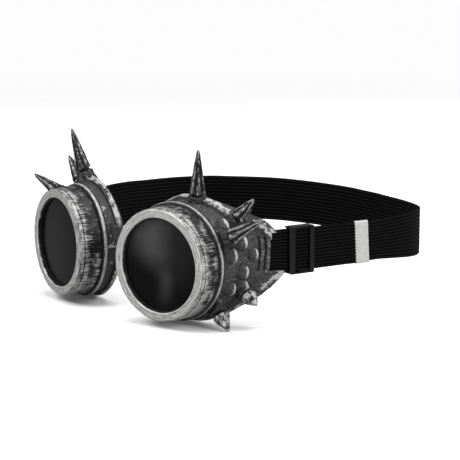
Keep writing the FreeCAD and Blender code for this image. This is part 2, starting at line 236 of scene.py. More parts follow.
def to_mesh(name, v, faces):
    me = bpy.data.meshes.new(name)
    me.from_pydata(np.asarray(v, float).tolist(), [], faces)
    me.update()
    return me


def link(name, me):
    o = bpy.data.objects.new(name, me)
    bpy.context.scene.collection.objects.link(o)
    return o


def csg(base, ops):
    """Unions and cuts on closed skins; returns (points, faces)."""
    host = link("csg_host", to_mesh("csg_host", *base))
    used = []
    for op, solid in ops:
        o = link("csg_tool", to_mesh("csg_tool", *solid))
        used.append(o)
        m = host.modifiers.new("b", "BOOLEAN")
        m.operation, m.object, m.solver = op, o, "MANIFOLD"
    bpy.context.view_layer.update()
    me = bpy.data.meshes.new_from_object(host.evaluated_get(bpy.context.evaluated_depsgraph_get()))
    co = np.zeros(len(me.vertices) * 3)
    me.vertices.foreach_get("co", co)
    faces = [list(p.vertices) for p in me.polygons]
    for o in used + [host]:
        d = o.data
        bpy.data.objects.remove(o)
        bpy.data.meshes.remove(d)
    bpy.data.meshes.remove(me)
    return co.reshape(-1, 3), faces


def tube(p0, p1, r0, r1=None, n=40):
    """Plain closed rod used as a cutter."""
    p0, p1 = np.asarray(p0, float), np.asarray(p1, float)
    a = (p1 - p0) / np.linalg.norm(p1 - p0)
    e1 = np.cross(a, (0.3, 0.5, 0.81))
    e1 /= np.linalg.norm(e1)
    e2 = np.cross(a, e1)
    t = np.arange(n) / n * PI2
    ring = np.outer(np.cos(t), e1) + np.outer(np.sin(t), e2)
    return rows_solid([p0 + ring * r0, p1 + ring * (r0 if r1 is None else r1)], p0, p1)


def ellipsoid(c, ex, ey, ez, nu=40, nv=20):
    rows = []
    t = np.arange(nu) / nu * PI2
    for k in range(1, nv):
        f = math.pi * k / nv
        rows.append(c + np.outer(np.cos(t), ex) * math.sin(f) + np.outer(np.sin(t), ey) * math.sin(f)
                    + np.outer(np.ones(nu), ez) * math.cos(f))
    return rows_solid(rows, c + ez, c - ez)


def strap_block(s0, s1, n0, n1, z0, z1):
    q = np.array([(s, n, z) for s in (s0, s1) for n in (n0, n1) for z in (z0, z1)], float)
    return outward(strap_pt(q[:, 0], q[:, 1], q[:, 2]),
                   [[0, 1, 3, 2], [4, 6, 7, 5], [0, 4, 5, 1], [2, 3, 7, 6], [0, 2, 6, 4], [1, 5, 7, 3]])


def in_cup(solid):
    return outward(row_to_cup(solid[0]), solid[1])


def piece(name, v, faces, mat, attrs=None, sharp=35.0, flip=False):
    """A finished mesh object; v in millimetres in the row frame."""
    me = to_mesh(name, np.asarray(v) * MM, faces)
    if flip:
        me.flip_normals()
    for key, val in (attrs or {}).items():
        val = np.asarray(val, np.float32)
        if val.ndim == 1:
            me.attributes.new(key, "FLOAT", "POINT").data.foreach_set("value", val)
        else:
            me.attributes.new(key, "FLOAT_VECTOR", "POINT").data.foreach_set("vector", val.ravel())
    me.polygons.foreach_set("use_smooth", np.ones(len(me.polygons), bool))
    if sharp is not None:
        me.set_sharp_from_angle(angle=rad(sharp))
    me.materials.append(mat)
    return link(name, me)


# -------------------------------------------------------------------- materials
class Mat:
    """Small helper that strings shader nodes together."""

    def __init__(self, name):
        self.mat = bpy.data.materials.new(name)
        self.mat.use_nodes = True
        self.nt = self.mat.node_tree
        self.nt.nodes.clear()
        out = self.nt.nodes.new("ShaderNodeOutputMaterial")
        self.bsdf = self.nt.nodes.new("ShaderNodeBsdfPrincipled")
        self.nt.links.new(self.bsdf.outputs[0], out.inputs[0])

    def node(self, kind, **props):
        n = self.nt.nodes.new(kind)
        for k, v in props.items():
            setattr(n, k, v)
        return n

    def put(self, sock, val):
        if isinstance(val, bpy.types.NodeSocket):
            self.nt.links.new(val, sock)
        else:
            sock.default_value = val

    def set(self, **vals):
        for k, v in vals.items():
            self.put(self.bsdf.inputs[k.replace("_", " ")], v)
        return self

    def attr(self, name, out="Fac"):
        n = self.node("ShaderNodeAttribute", attribute_name=name)
        return n.outputs[out]

    def math(self, op, a, b=0.0, c=0.0, clamp=False):
        n = self.node("ShaderNodeMath", operation=op, use_clamp=clamp)
        for s, v in zip(n.inputs, (a, b, c)):
            self.put(s, v)
        return n.outputs[0]

    def scale(self, vec, xyz, loc=(0, 0, 0)):
        n = self.node("ShaderNodeMapping")
        self.put(n.inputs["Vector"], vec)
        n.inputs["Scale"].default_value = xyz
        n.inputs["Location"].default_value = loc
        return n.outputs[0]

    def noise(self, vec, scale=1.0, detail=3.0, rough=0.55, dist=0.0):
        n = self.node("ShaderNodeTexNoise")
        self.put(n.inputs["Vector"], vec)
        n.inputs["Scale"].default_value = scale
        n.inputs["Detail"].default_value = detail
        n.inputs["Roughness"].default_value = rough
        n.inputs["Distortion"].default_value = dist
        return n.outputs[0]

    def cells(self, vec, scale=1.0, feature="F1", rnd=1.0):
        n = self.node("ShaderNodeTexVoronoi", feature=feature)
        self.put(n.inputs["Vector"], vec)
        n.inputs["Scale"].default_value = scale
        n.inputs["Randomness"].default_value = rnd
        return n.outputs["Distance"]

    def step(self, a, b, x):
        n = self.node("ShaderNodeMapRange", interpolation_type="SMOOTHSTEP")
        self.put(n.inputs["Value"], x)
        n.inputs["From Min"].default_value = a
        n.inputs["From Max"].default_value = b
        return n.outputs[0]

    def lerp(self, x, a, b):
        n = self.node("ShaderNodeMapRange")
        self.put(n.inputs["Value"], x)
        self.put(n.inputs["To Min"], a)
        self.put(n.inputs["To Max"], b)
        return n.outputs[0]

    def grey(self, val):
        n = self.node("ShaderNodeCombineColor")
        for k in range(3):
            self.put(n.inputs[k], val)
        return n.outputs[0]

    def tint(self, val, r, g, b):
        n = self.node("ShaderNodeCombineColor")
        for k, m in enumerate((r, g, b)):
            self.put(n.inputs[k], self.math("MULTIPLY", val, m))
        return n.outputs[0]

    def bump(self, height, strength=0.5, dist=0.0002, normal=None):
        n = self.node("ShaderNodeBump")
        n.inputs["Strength"].default_value = strength
        n.inputs["Distance"].default_value = dist
        self.put(n.inputs["Height"], height)
        if normal is not None:
            self.put(n.inputs["Normal"], normal)
        return n.outputs[0]


def silver_over_black(m, mask, silver, dark, rough_s=0.34, rough_d=0.42, jitter=None, metal=0.55, shine=0.5):
    """Dry-brushed metal paint on black plastic, mixed by mask."""
    if shine < 0.5:
        m.set(Specular_IOR_Level=m.lerp(mask, shine, 0.5))
    m.set(Base_Color=m.tint(m.lerp(mask, dark, silver), 1.0, 0.995, 0.985))
    m.set(Metallic=m.math("MULTIPLY", mask, metal))
    r = m.lerp(mask, rough_d, rough_s)
    if jitter is not None:
        r = m.math("ADD", r, m.math("MULTIPLY", m.math("SUBTRACT", jitter, 0.5), 0.25), clamp=True)
    m.set(Roughness=r)


def mat_bezel():
    m = Mat("bezel_silver")
    p = m.attr("loc", "Vector")
    s = m.attr("silver")
    front = m.attr("front")
    streak = m.noise(m.scale(p, (1.5, 0.14, 0.0)), 1.0, 3.0, 0.58)
    fine = m.noise(m.scale(p, (4.6, 0.45, 0.0)), 1.0, 3.0, 0.6)
    patch = m.noise(m.scale(p, (0.15, 0.24, 0.0)), 1.0, 3.0, 0.6)
    hatch = m.noise(m.scale(p, (1.1, 0.0, 0.6)), 1.0, 3.0, 0.6)
    ring = m.noise(m.scale(p, (0.16, 0.0, 2.6)), 1.0, 3.0, 0.6)
    speck = m.noise(m.scale(p, (1.6, 1.6, 1.6)), 1.0, 4.0, 0.7)
    side = m.math("MULTIPLY", m.math("SUBTRACT", streak, 0.5), 2.6)
    side = m.math("ADD", side, m.math("MULTIPLY", m.math("SUBTRACT", fine, 0.5), 1.1))
    side = m.math("ADD", side, m.math("MULTIPLY", m.math("SUBTRACT", patch, 0.5), 2.2))
    mask_side = m.step(0.14, 1.06, m.math("ADD", side, s))
    face = m.math("MULTIPLY", m.math("SUBTRACT", hatch, 0.5), 0.7)
    face = m.math("ADD", face, m.math("MULTIPLY", m.math("SUBTRACT", ring, 0.5), 1.3))
    face = m.math("ADD", face, m.math("MULTIPLY", m.math("SUBTRACT", speck, 0.5), 0.5))
    mask_face = m.step(0.14, 0.96, m.math("ADD", face, s))
    mask = m.lerp(front, mask_side, mask_face)
    tone = m.math("ADD", 0.16, m.math("MULTIPLY", m.lerp(front, fine, ring), 0.86))
    tone = m.math("MULTIPLY", tone, m.lerp(front, 0.68, 0.76))
    silver_over_black(m, mask, tone, 0.005, 0.42, 0.40, speck, 0.45, 0.25)
    h = m.math("ADD", m.lerp(front, streak, hatch), m.math("MULTIPLY", speck, 0.6))
    m.set(Normal=m.bump(h, 0.5, 0.00022))
    return m.mat


def mat_cup():
    m = Mat("cup_plastic")
    p = m.attr("loc", "Vector")
    s = m.attr("silver")
    grain = m.noise(p, 0.95, 5.0, 0.62, 0.5)
    pebble = m.cells(p, 0.85, "SMOOTH_F1")
    flecks = m.noise(p, 2.1, 4.0, 0.7, 0.3)
    cloud = m.noise(p, 0.22, 3.0, 0.55)
    a = m.math("MULTIPLY", m.math("SUBTRACT", flecks, 0.5), 1.7)
    a = m.math("ADD", a, m.math("MULTIPLY", m.math("SUBTRACT", grain, 0.5), 1.2))
    a = m.math("ADD", a, m.math("MULTIPLY", m.math("SUBTRACT", cloud, 0.5), 0.7))
    mask = m.step(0.22, 0.80, m.math("ADD", a, s))
    tone = m.math("ADD", 0.10, m.math("MULTIPLY", flecks, 0.58))
    dark = m.math("ADD", 0.002, m.math("MULTIPLY", m.step(0.30, 0.76, grain), 0.030))
    # Silver below zero darkens the black further: this carries the painted shade and shadow at the vent hoods, and
    # makes the spike bosses near-black.
    dark = m.math("MULTIPLY", dark, m.lerp(m.step(-0.35, 0.06, s), 0.12, 1.0))
    silver_over_black(m, mask, tone, dark, 0.38, 0.46, grain, 0.5)
    h = m.math("ADD", grain, m.math("MULTIPLY", pebble, 0.6))
    h = m.math("ADD", h, m.math("MULTIPLY", flecks, 0.4))
    m.set(Normal=m.bump(h, 0.8, 0.0008))
    return m.mat


def mat_spike(name, bias, rough):
    m = Mat(name)
    p = m.attr("loc", "Vector")
    s = m.attr("silver")
    long_n = m.noise(m.scale(p, (1.0, 1.0, 0.34)), 0.95, 4.0, 0.62)
    fleck = m.noise(p, 1.7, 4.0, 0.68)
    a = m.math("MULTIPLY", m.math("SUBTRACT", long_n, 0.5), 2.9)
    a = m.math("ADD", a, m.math("MULTIPLY", m.math("SUBTRACT", fleck, 0.5), 1.3))
    a = m.math("ADD", m.math("ADD", a, bias), s)
    mask = m.step(0.22, 0.78, a)
    tone = m.math("ADD", 0.10, m.math("MULTIPLY", fleck, 0.42))
    silver_over_black(m, mask, tone, 0.004, rough, 0.34, long_n, 0.6, 0.2)
    m.set(Normal=m.bump(m.math("ADD", long_n, fleck), 0.5, 0.0004))
    return m.mat


def mat_lens():
    m = Mat("dark_lens")
    p = m.attr("loc", "Vector")
    smudge_and_reflection = m.noise(m.scale(p, (0.045, 0.07, 0.05)), 1.0, 2.0, 0.5)
    dust = m.noise(p, 1.4, 5.0, 0.7)
    # Base colour carries a painted reflection of the studio lights, shaped by the smudge noise; the same noise varies
    # roughness as real smudges.
    reflection_paint = m.math("MULTIPLY", m.math("ADD", 0.45, m.math("MULTIPLY", smudge_and_reflection, 0.75)), m.attr("painted_reflection"))
    m.set(Base_Color=m.tint(m.math("ADD", 0.0010, m.math("MULTIPLY", reflection_paint, 0.046)), 1.0, 1.0, 1.02))
    r = m.math("ADD", 0.10, m.math("MULTIPLY", smudge_and_reflection, 0.14))
    m.set(Roughness=m.math("ADD", r, m.math("MULTIPLY", dust, 0.05)))
    m.bsdf.inputs["IOR"].default_value = 1.45
    m.bsdf.inputs["Specular IOR Level"].default_value = 0.05
    m.set(Normal=m.bump(dust, 0.03, 0.00005))
    return m.mat


def mat_rubber(name, shade):
    m = Mat(name)
    n = m.node("ShaderNodeTexCoord")
    p = n.outputs["Object"]
    fine = m.noise(p, 2600.0, 4.0, 0.65)
    soft = m.noise(p, 160.0, 3.0, 0.5)
    m.set(Base_Color=m.grey(m.math("ADD", shade * 0.4, m.math("MULTIPLY", soft, shade * 0.6))))
    m.set(Roughness=m.math("ADD", 0.42, m.math("MULTIPLY", fine, 0.3)))
    m.bsdf.inputs["Specular IOR Level"].default_value = 0.25
    m.set(Normal=m.bump(fine, 0.25, 0.0001))
    return m.mat


def mat_strap():
    m = Mat("elastic_webbing")
    p = m.attr("loc", "Vector")
    sep = m.node("ShaderNodeSeparateXYZ")
    m.put(sep.inputs[0], p)
    along, rib = sep.outputs[0], sep.outputs[1]
    fl = m.math("FLOOR", m.math("ADD", rib, 0.5))
    half = m.math("MULTIPLY", m.math("MODULO", m.math("ABSOLUTE", fl), 2.0), math.pi)
    pick = m.math("SINE", m.math("ADD", m.math("MULTIPLY", along, PI2 / 0.95), half))
    pick = m.math("ADD", m.math("MULTIPLY", pick, 0.5), 0.5)
    crown = m.math("ADD", m.math("MULTIPLY", m.math("COSINE", m.math("MULTIPLY", rib, PI2)), 0.5), 0.5)
    fuzz = m.noise(m.scale(p, (2.2, 6.0, 1.0)), 1.0, 4.0, 0.7)
    fade = m.noise(m.scale(p, (0.03, 0.2, 1.0)), 1.0, 2.0, 0.5)
    thread = m.math("MULTIPLY", m.math("MULTIPLY", pick, m.math("POWER", crown, 3.5)), fuzz)
    shade = m.math("ADD", 0.0004, m.math("MULTIPLY", thread, 0.029))
    shade = m.math("MULTIPLY", shade, m.math("ADD", 0.7, m.math("MULTIPLY", fade, 0.6)))
    m.set(Base_Color=m.tint(shade, 1.0, 1.0, 1.02))
    m.set(Roughness=m.math("ADD", 0.72, m.math("MULTIPLY", fuzz, 0.22)))
    m.bsdf.inputs["Specular IOR Level"].default_value = 0.036
    m.bsdf.inputs["Sheen Weight"].default_value = 0.004
    m.bsdf.inputs["Sheen Roughness"].default_value = 0.5
    h = m.math("ADD", m.math("MULTIPLY", pick, 0.7), m.math("MULTIPLY", fuzz, 0.6))
    m.set(Normal=m.bump(h, 0.55, 0.00016))
    return m.mat


def mat_tag():
    m = Mat("label_tape")
    p = m.attr("loc", "Vector")
    sep = m.node("ShaderNodeSeparateXYZ")
    m.put(sep.inputs[0], p)
    wx = m.math("SINE", m.math("MULTIPLY", sep.outputs[0], PI2 / 0.42))
    wy = m.math("SINE", m.math("MULTIPLY", sep.outputs[1], PI2 / 0.36))
    weave = m.math("MULTIPLY", wx, wy)
    stain = m.noise(p, 0.35, 4.0, 0.6)
    shade = m.math("ADD", 0.30, m.math("MULTIPLY", stain, 0.16))
    shade = m.math("ADD", shade, m.math("MULTIPLY", weave, 0.02))
    m.set(Base_Color=m.tint(shade, 1.0, 1.0, 0.99))
    m.set(Roughness=m.math("ADD", 0.55, m.math("MULTIPLY", stain, 0.2)))
    m.set(Normal=m.bump(weave, 0.4, 0.00008))
    return m.mat


def mat_slider():
    m = Mat("slider_plastic")
    n = m.node("ShaderNodeTexCoord")
    p = n.outputs["Object"]
    rub = m.noise(p, 420.0, 4.0, 0.6)
    scuff = m.noise(m.scale(p, (900.0, 900.0, 160.0)), 1.0, 4.0, 0.7)
    m.set(Base_Color=m.grey(m.math("ADD", 0.001, m.math("MULTIPLY", rub, 0.004))))
    m.set(Roughness=m.math("ADD", 0.14, m.math("MULTIPLY", scuff, 0.2)))
    m.bsdf.inputs["Specular IOR Level"].default_value = 0.18
    m.set(Normal=m.bump(m.math("ADD", rub, m.math("MULTIPLY", scuff, 0.4)), 0.14, 0.0001))
    return m.mat


def mat_screw():
    m = Mat("screw_steel")
    n = m.node("ShaderNodeTexCoord")
    p = n.outputs["Object"]
    turn = m.noise(p, 1800.0, 3.0, 0.6)
    spot = m.noise(p, 420.0, 4.0, 0.65)
    m.set(Base_Color=m.tint(m.math("ADD", 0.10, m.math("MULTIPLY", spot, 0.24)), 1.0, 0.99, 0.97))
    m.set(Metallic=0.95)
    m.set(Roughness=m.math("ADD", 0.34, m.math("MULTIPLY", turn, 0.3)))
    m.set(Normal=m.bump(turn, 0.2, 0.00006))
    return m.mat


BEZEL, CUP = mat_bezel(), mat_cup()
SPIKE, STUD = mat_spike("spike_metal", -0.04, 0.30), mat_spike("stud_metal", 0.10, 0.32)
LENS, STRAP, TAG = mat_lens(), mat_strap(), mat_tag()
RUBBER, BRIDGE = mat_rubber("black_rubber", 0.008), mat_rubber("bridge_rubber", 0.05)
SLIDER, SCREW = mat_slider(), mat_screw()


# ---------------------------------------------------------------------- bezel
def arc_pts(cx, cy, r, a0, a1, n):
    return [(cx + r * math.cos(rad(a0 + (a1 - a0) * k / n)), cy + r * math.sin(rad(a0 + (a1 - a0) * k / n)))
            for k in range(n + 1)]


def bezel(side, seed):
    n = 360
    prof = [(23.25, 1.6, .2, 1), (23.25, 1.1, .35, 1), (23.25, .55, .7, 1), (23.32, .28, 1.0, 1),
            (23.5, .08, 1.0, 1), (23.75, 0.0, .95, 1), (24.0, .03, .74, 1), (24.15, .10, .60, 1),
            (24.6, .12, .68, 1), (25.1, .10, .72, 1), (25.6, .07, .72, 1), (26.1, .04, .70, 1), (26.5, 0.0, .70, 1),
            (26.8, .02, .70, 1), (27.1, .14, .62, 1), (27.36, .36, .52, 1), (27.55, .68, .50, .8),
            (27.65, 1.1, .58, .3), (27.66, 1.6, .70, 0), (27.65, 2.2, .72, 0), (27.63, 2.55, .62, 0),
            (27.52, 2.78, .25, 0), (27.36, 2.95, -.1, 0), (27.38, 3.08, -.1, 0), (27.58, 3.2, .28, 0),
            (27.74, 3.36, .74, 0), (27.78, 3.8, .72, 0), (27.8, 4.4, .64, 0), (27.83, 5.2, .52, 0),
            (27.86, 6.2, .38, 0), (27.9, 7.2, .30, 0), (27.95, 8.2, .26, 0), (28.0, 9.2, .23, 0), (28.06, 10.2, .21, 0),
            (28.12, 11.1, .20, 0), (28.15, 11.55, .26, 0), (28.08, 11.88, .22, 0), (27.9, 12.1, .1, 0),
            (27.6, 12.2, .05, 0), (26.6, 12.2, 0, 0), (26.15, 12.15, 0, 0), (26.06, 12.0, 0, 0)]
    for d in np.arange(11.8, 2.0, -0.5):
        prof.append((26.06, float(d), 0, 0))
    prof += [(26.06, 1.75, 0, 0), (25.9, 1.6, 0, 0), (24.5, 1.6, 0, 0)]
    t = np.arange(n) / n * PI2
    rows, silver, front, loc = [], [], [], []
    for r, d, sv, fr in prof:
        q = np.stack([np.cos(t) * 9, np.sin(t) * 9, np.full(n, d * 1.2)], 1)
        bump = 0.035 * vnoise(q, seed) + 0.02 * vnoise(q * 3.1, seed + 1) if r > 26.3 else 0.0
        rr = r + bump
        dd = d + (0.03 * vnoise(q * 1.7, seed + 2) if d < 1.2 and r > 23.4 else 0.0)
        rows.append(np.stack([rr * np.cos(t), rr * np.sin(t), np.broadcast_to(dd, (n,))], 1))
        low = 0.16 * np.cos(t + rad(75)) + 0.08 * np.cos(3 * t + seed) - 0.06
        low += 0.46 * np.exp(-(((t + rad(68) + math.pi) % PI2 - math.pi) / rad(26)) ** 2)
        face = 0.03 + 0.06 * np.sin(t) if side == "left" else np.full(n, -0.07)
        silver.append(np.clip(sv + (low if fr < .5 and 3.2 < d < 11.7 else face if fr > .5 else np.zeros(n)), -0.2, 1.2))
        front.append(np.full(n, fr, float))
        loc.append(np.stack([t * 27.5 + seed * 31.0, np.full(n, d + seed * 3.0), np.full(n, r)], 1))
    v, f = rows_solid(rows, wrap=True)
    at = {"silver": np.concatenate(silver), "front": np.concatenate(front), "loc": np.concatenate(loc)}
    o = piece(side + "_bezel_ring_mesh", cup_to_row(v, side), f, BEZEL, at, 50, flip=side == "left")
    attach(o, side + "_bezel_ring")
    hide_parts(side + "_bezel")


# ----------------------------------------------------------------------- lens
def lens(side, seed):
    n = 160
    t = np.arange(n) / n * PI2
    prof = []
    for r in np.linspace(0.6, 24.4, 40):
        prof.append((r, 2.6 - 0.75 * (1 - (r / 24.6) ** 2)))
    prof += [(24.75, 2.66), (24.95, 2.85), (25.0, 3.2), (25.0, 4.3), (24.85, 4.6), (24.5, 4.78)]
    for r in np.linspace(24.0, 0.6, 24):
        prof.append((r, 4.8 - 0.55 * (1 - (r / 24.6) ** 2)))
    rows = [np.stack([r * np.cos(t), r * np.sin(t), np.full(n, d)], 1) for r, d in prof]
    v, f = rows_solid(rows, np.array([0, 0, 1.85]), np.array([0, 0, 4.25]))
    lx, ly = v[:, 0], v[:, 1]
    # Painted reflection of the studio lights: a soft light patch at upper left, a band below the centre and a lighter
    # right edge; the right lens gets a faint central patch.
    painted_reflection = 1.15 * np.exp(-((lx + 6.0) / 12.5) ** 2) * sstep(-10.0, 10.0, ly + 0.35 * lx) + 0.03
    painted_reflection += 0.50 * np.exp(-((lx - 4.5 - 0.12 * ly) / 4.5) ** 2) * sstep(2.0, -8.0, ly) * sstep(-24.0, -10.0, ly)
    painted_reflection += 0.14 * sstep(8.0, 15.0, lx) * sstep(-16.0, 4.0, ly)
    if side == "right":
        painted_reflection = 0.08 * np.exp(-(lx / 13.0) ** 2) + 0.02
    painted_reflection = np.where(v[:, 2] > 3.3, 0.03, painted_reflection)   # the painted reflection is on the front only
    o = piece(side + "_lens_disc", cup_to_row(v, side), f, LENS, {"loc": v + seed * 40.0, "painted_reflection": painted_reflection}, 40, flip=side == "left")
    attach(o, side + "_lens_set")
    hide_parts(side + "_lens")
    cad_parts[side + "_lens_gasket"].data.materials.clear()
    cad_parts[side + "_lens_gasket"].data.materials.append(RUBBER)


# ----------------------------------------------------------------------- cups
def axis_frame(p, q):
    p, q = np.asarray(p, float), np.asarray(q, float)
    h = np.linalg.norm(q - p)
    a = (q - p) / h
    e1 = np.cross(a, (0.0, 0.0, 1.0))
    e1 /= np.linalg.norm(e1)
    return p, a, e1, np.cross(a, e1), h


def boss(foot, tip, seed):
    """Fluted rough collar that carries one spike."""
    p, a, e1, e2, h = axis_frame(foot, tip)
    n = 90
    t = np.arange(n) / n * PI2
    rows = []
    prof = [(-9.6, 6.3), (-7.5, 6.1), (-6.2, 5.8), (-5.2, 5.5), (-4.4, 5.2), (-3.7, 4.95), (-3.1, 4.75), (-2.6, 4.58),
            (-2.2, 4.45), (-1.8, 4.36), (-1.5, 4.26), (-1.25, 4.1), (-1.08, 3.88), (-0.96, 3.6), (-0.9, 3.1), (-0.9, 2.0)]
    for z, r in prof:
        ring = np.outer(np.cos(t), e1) + np.outer(np.sin(t), e2)
        pts = p + a * z + ring * r
        flute = 0.5 - 0.5 * np.cos(9 * t + seed)
        rough = 0.48 * vnoise(pts * 0.7, seed) + 0.22 * vnoise(pts * 1.8, seed + 3)
        k = float(sstep(-9, -6, z)) * float(sstep(2.0, 3.4, r))
        rows.append(p + a * z + ring * (r - k * (0.55 * flute ** 2) + k * rough)[:, None])
    solid = rows_solid(rows, p + a * -9.6, p + a * -0.9)
    t = np.arange(120) / 120 * PI2
    cone = [np.stack([q * np.cos(t), q * np.sin(t), np.full(120, z)], 1) for q, z in ((33.6, 5.0), (33.6, 12.2), (29.9, 15.5))]
    return csg(solid, [("DIFFERENCE", rows_solid(cone, np.array([0, 0, 5.0]), np.array([0, 0, 15.5])))])


def hood_frame(ang, d):
    th = rad(ang)
    r = float(wall_r(th, d))
    m = (float(flare(th)) - SHOULDER_R) / 35.0
    k = math.sqrt(1 + m * m)
    er = np.array([math.cos(th), math.sin(th), 0.0])
    en = (er - np.array([0, 0, m])) / k
    ed = (er * m + np.array([0, 0, 1.0])) / k
    et = np.array([-math.sin(th), math.cos(th), 0.0])
    return er * r + np.array([0, 0, d]), en, ed, et


def bead_ring(n, seed):
    """The raised bright bead round the shoulder."""
    th = np.arange(n) / n * PI2
    ct, sn = np.cos(th), np.sin(th)
    rows = []
    for r, d in BEAD + [(26.6, 15.3), (26.6, 12.9)]:
        q = np.stack([ct * 8, sn * 8, np.full(n, d)], 1)
        rr = r + (0.05 * vnoise(q, seed + 5) if r > 28.5 else 0.0) + np.zeros(n)
        rows.append(np.stack([rr * ct, rr * sn, np.full(n, d)], 1))
    return rows_solid(rows, wrap=True)


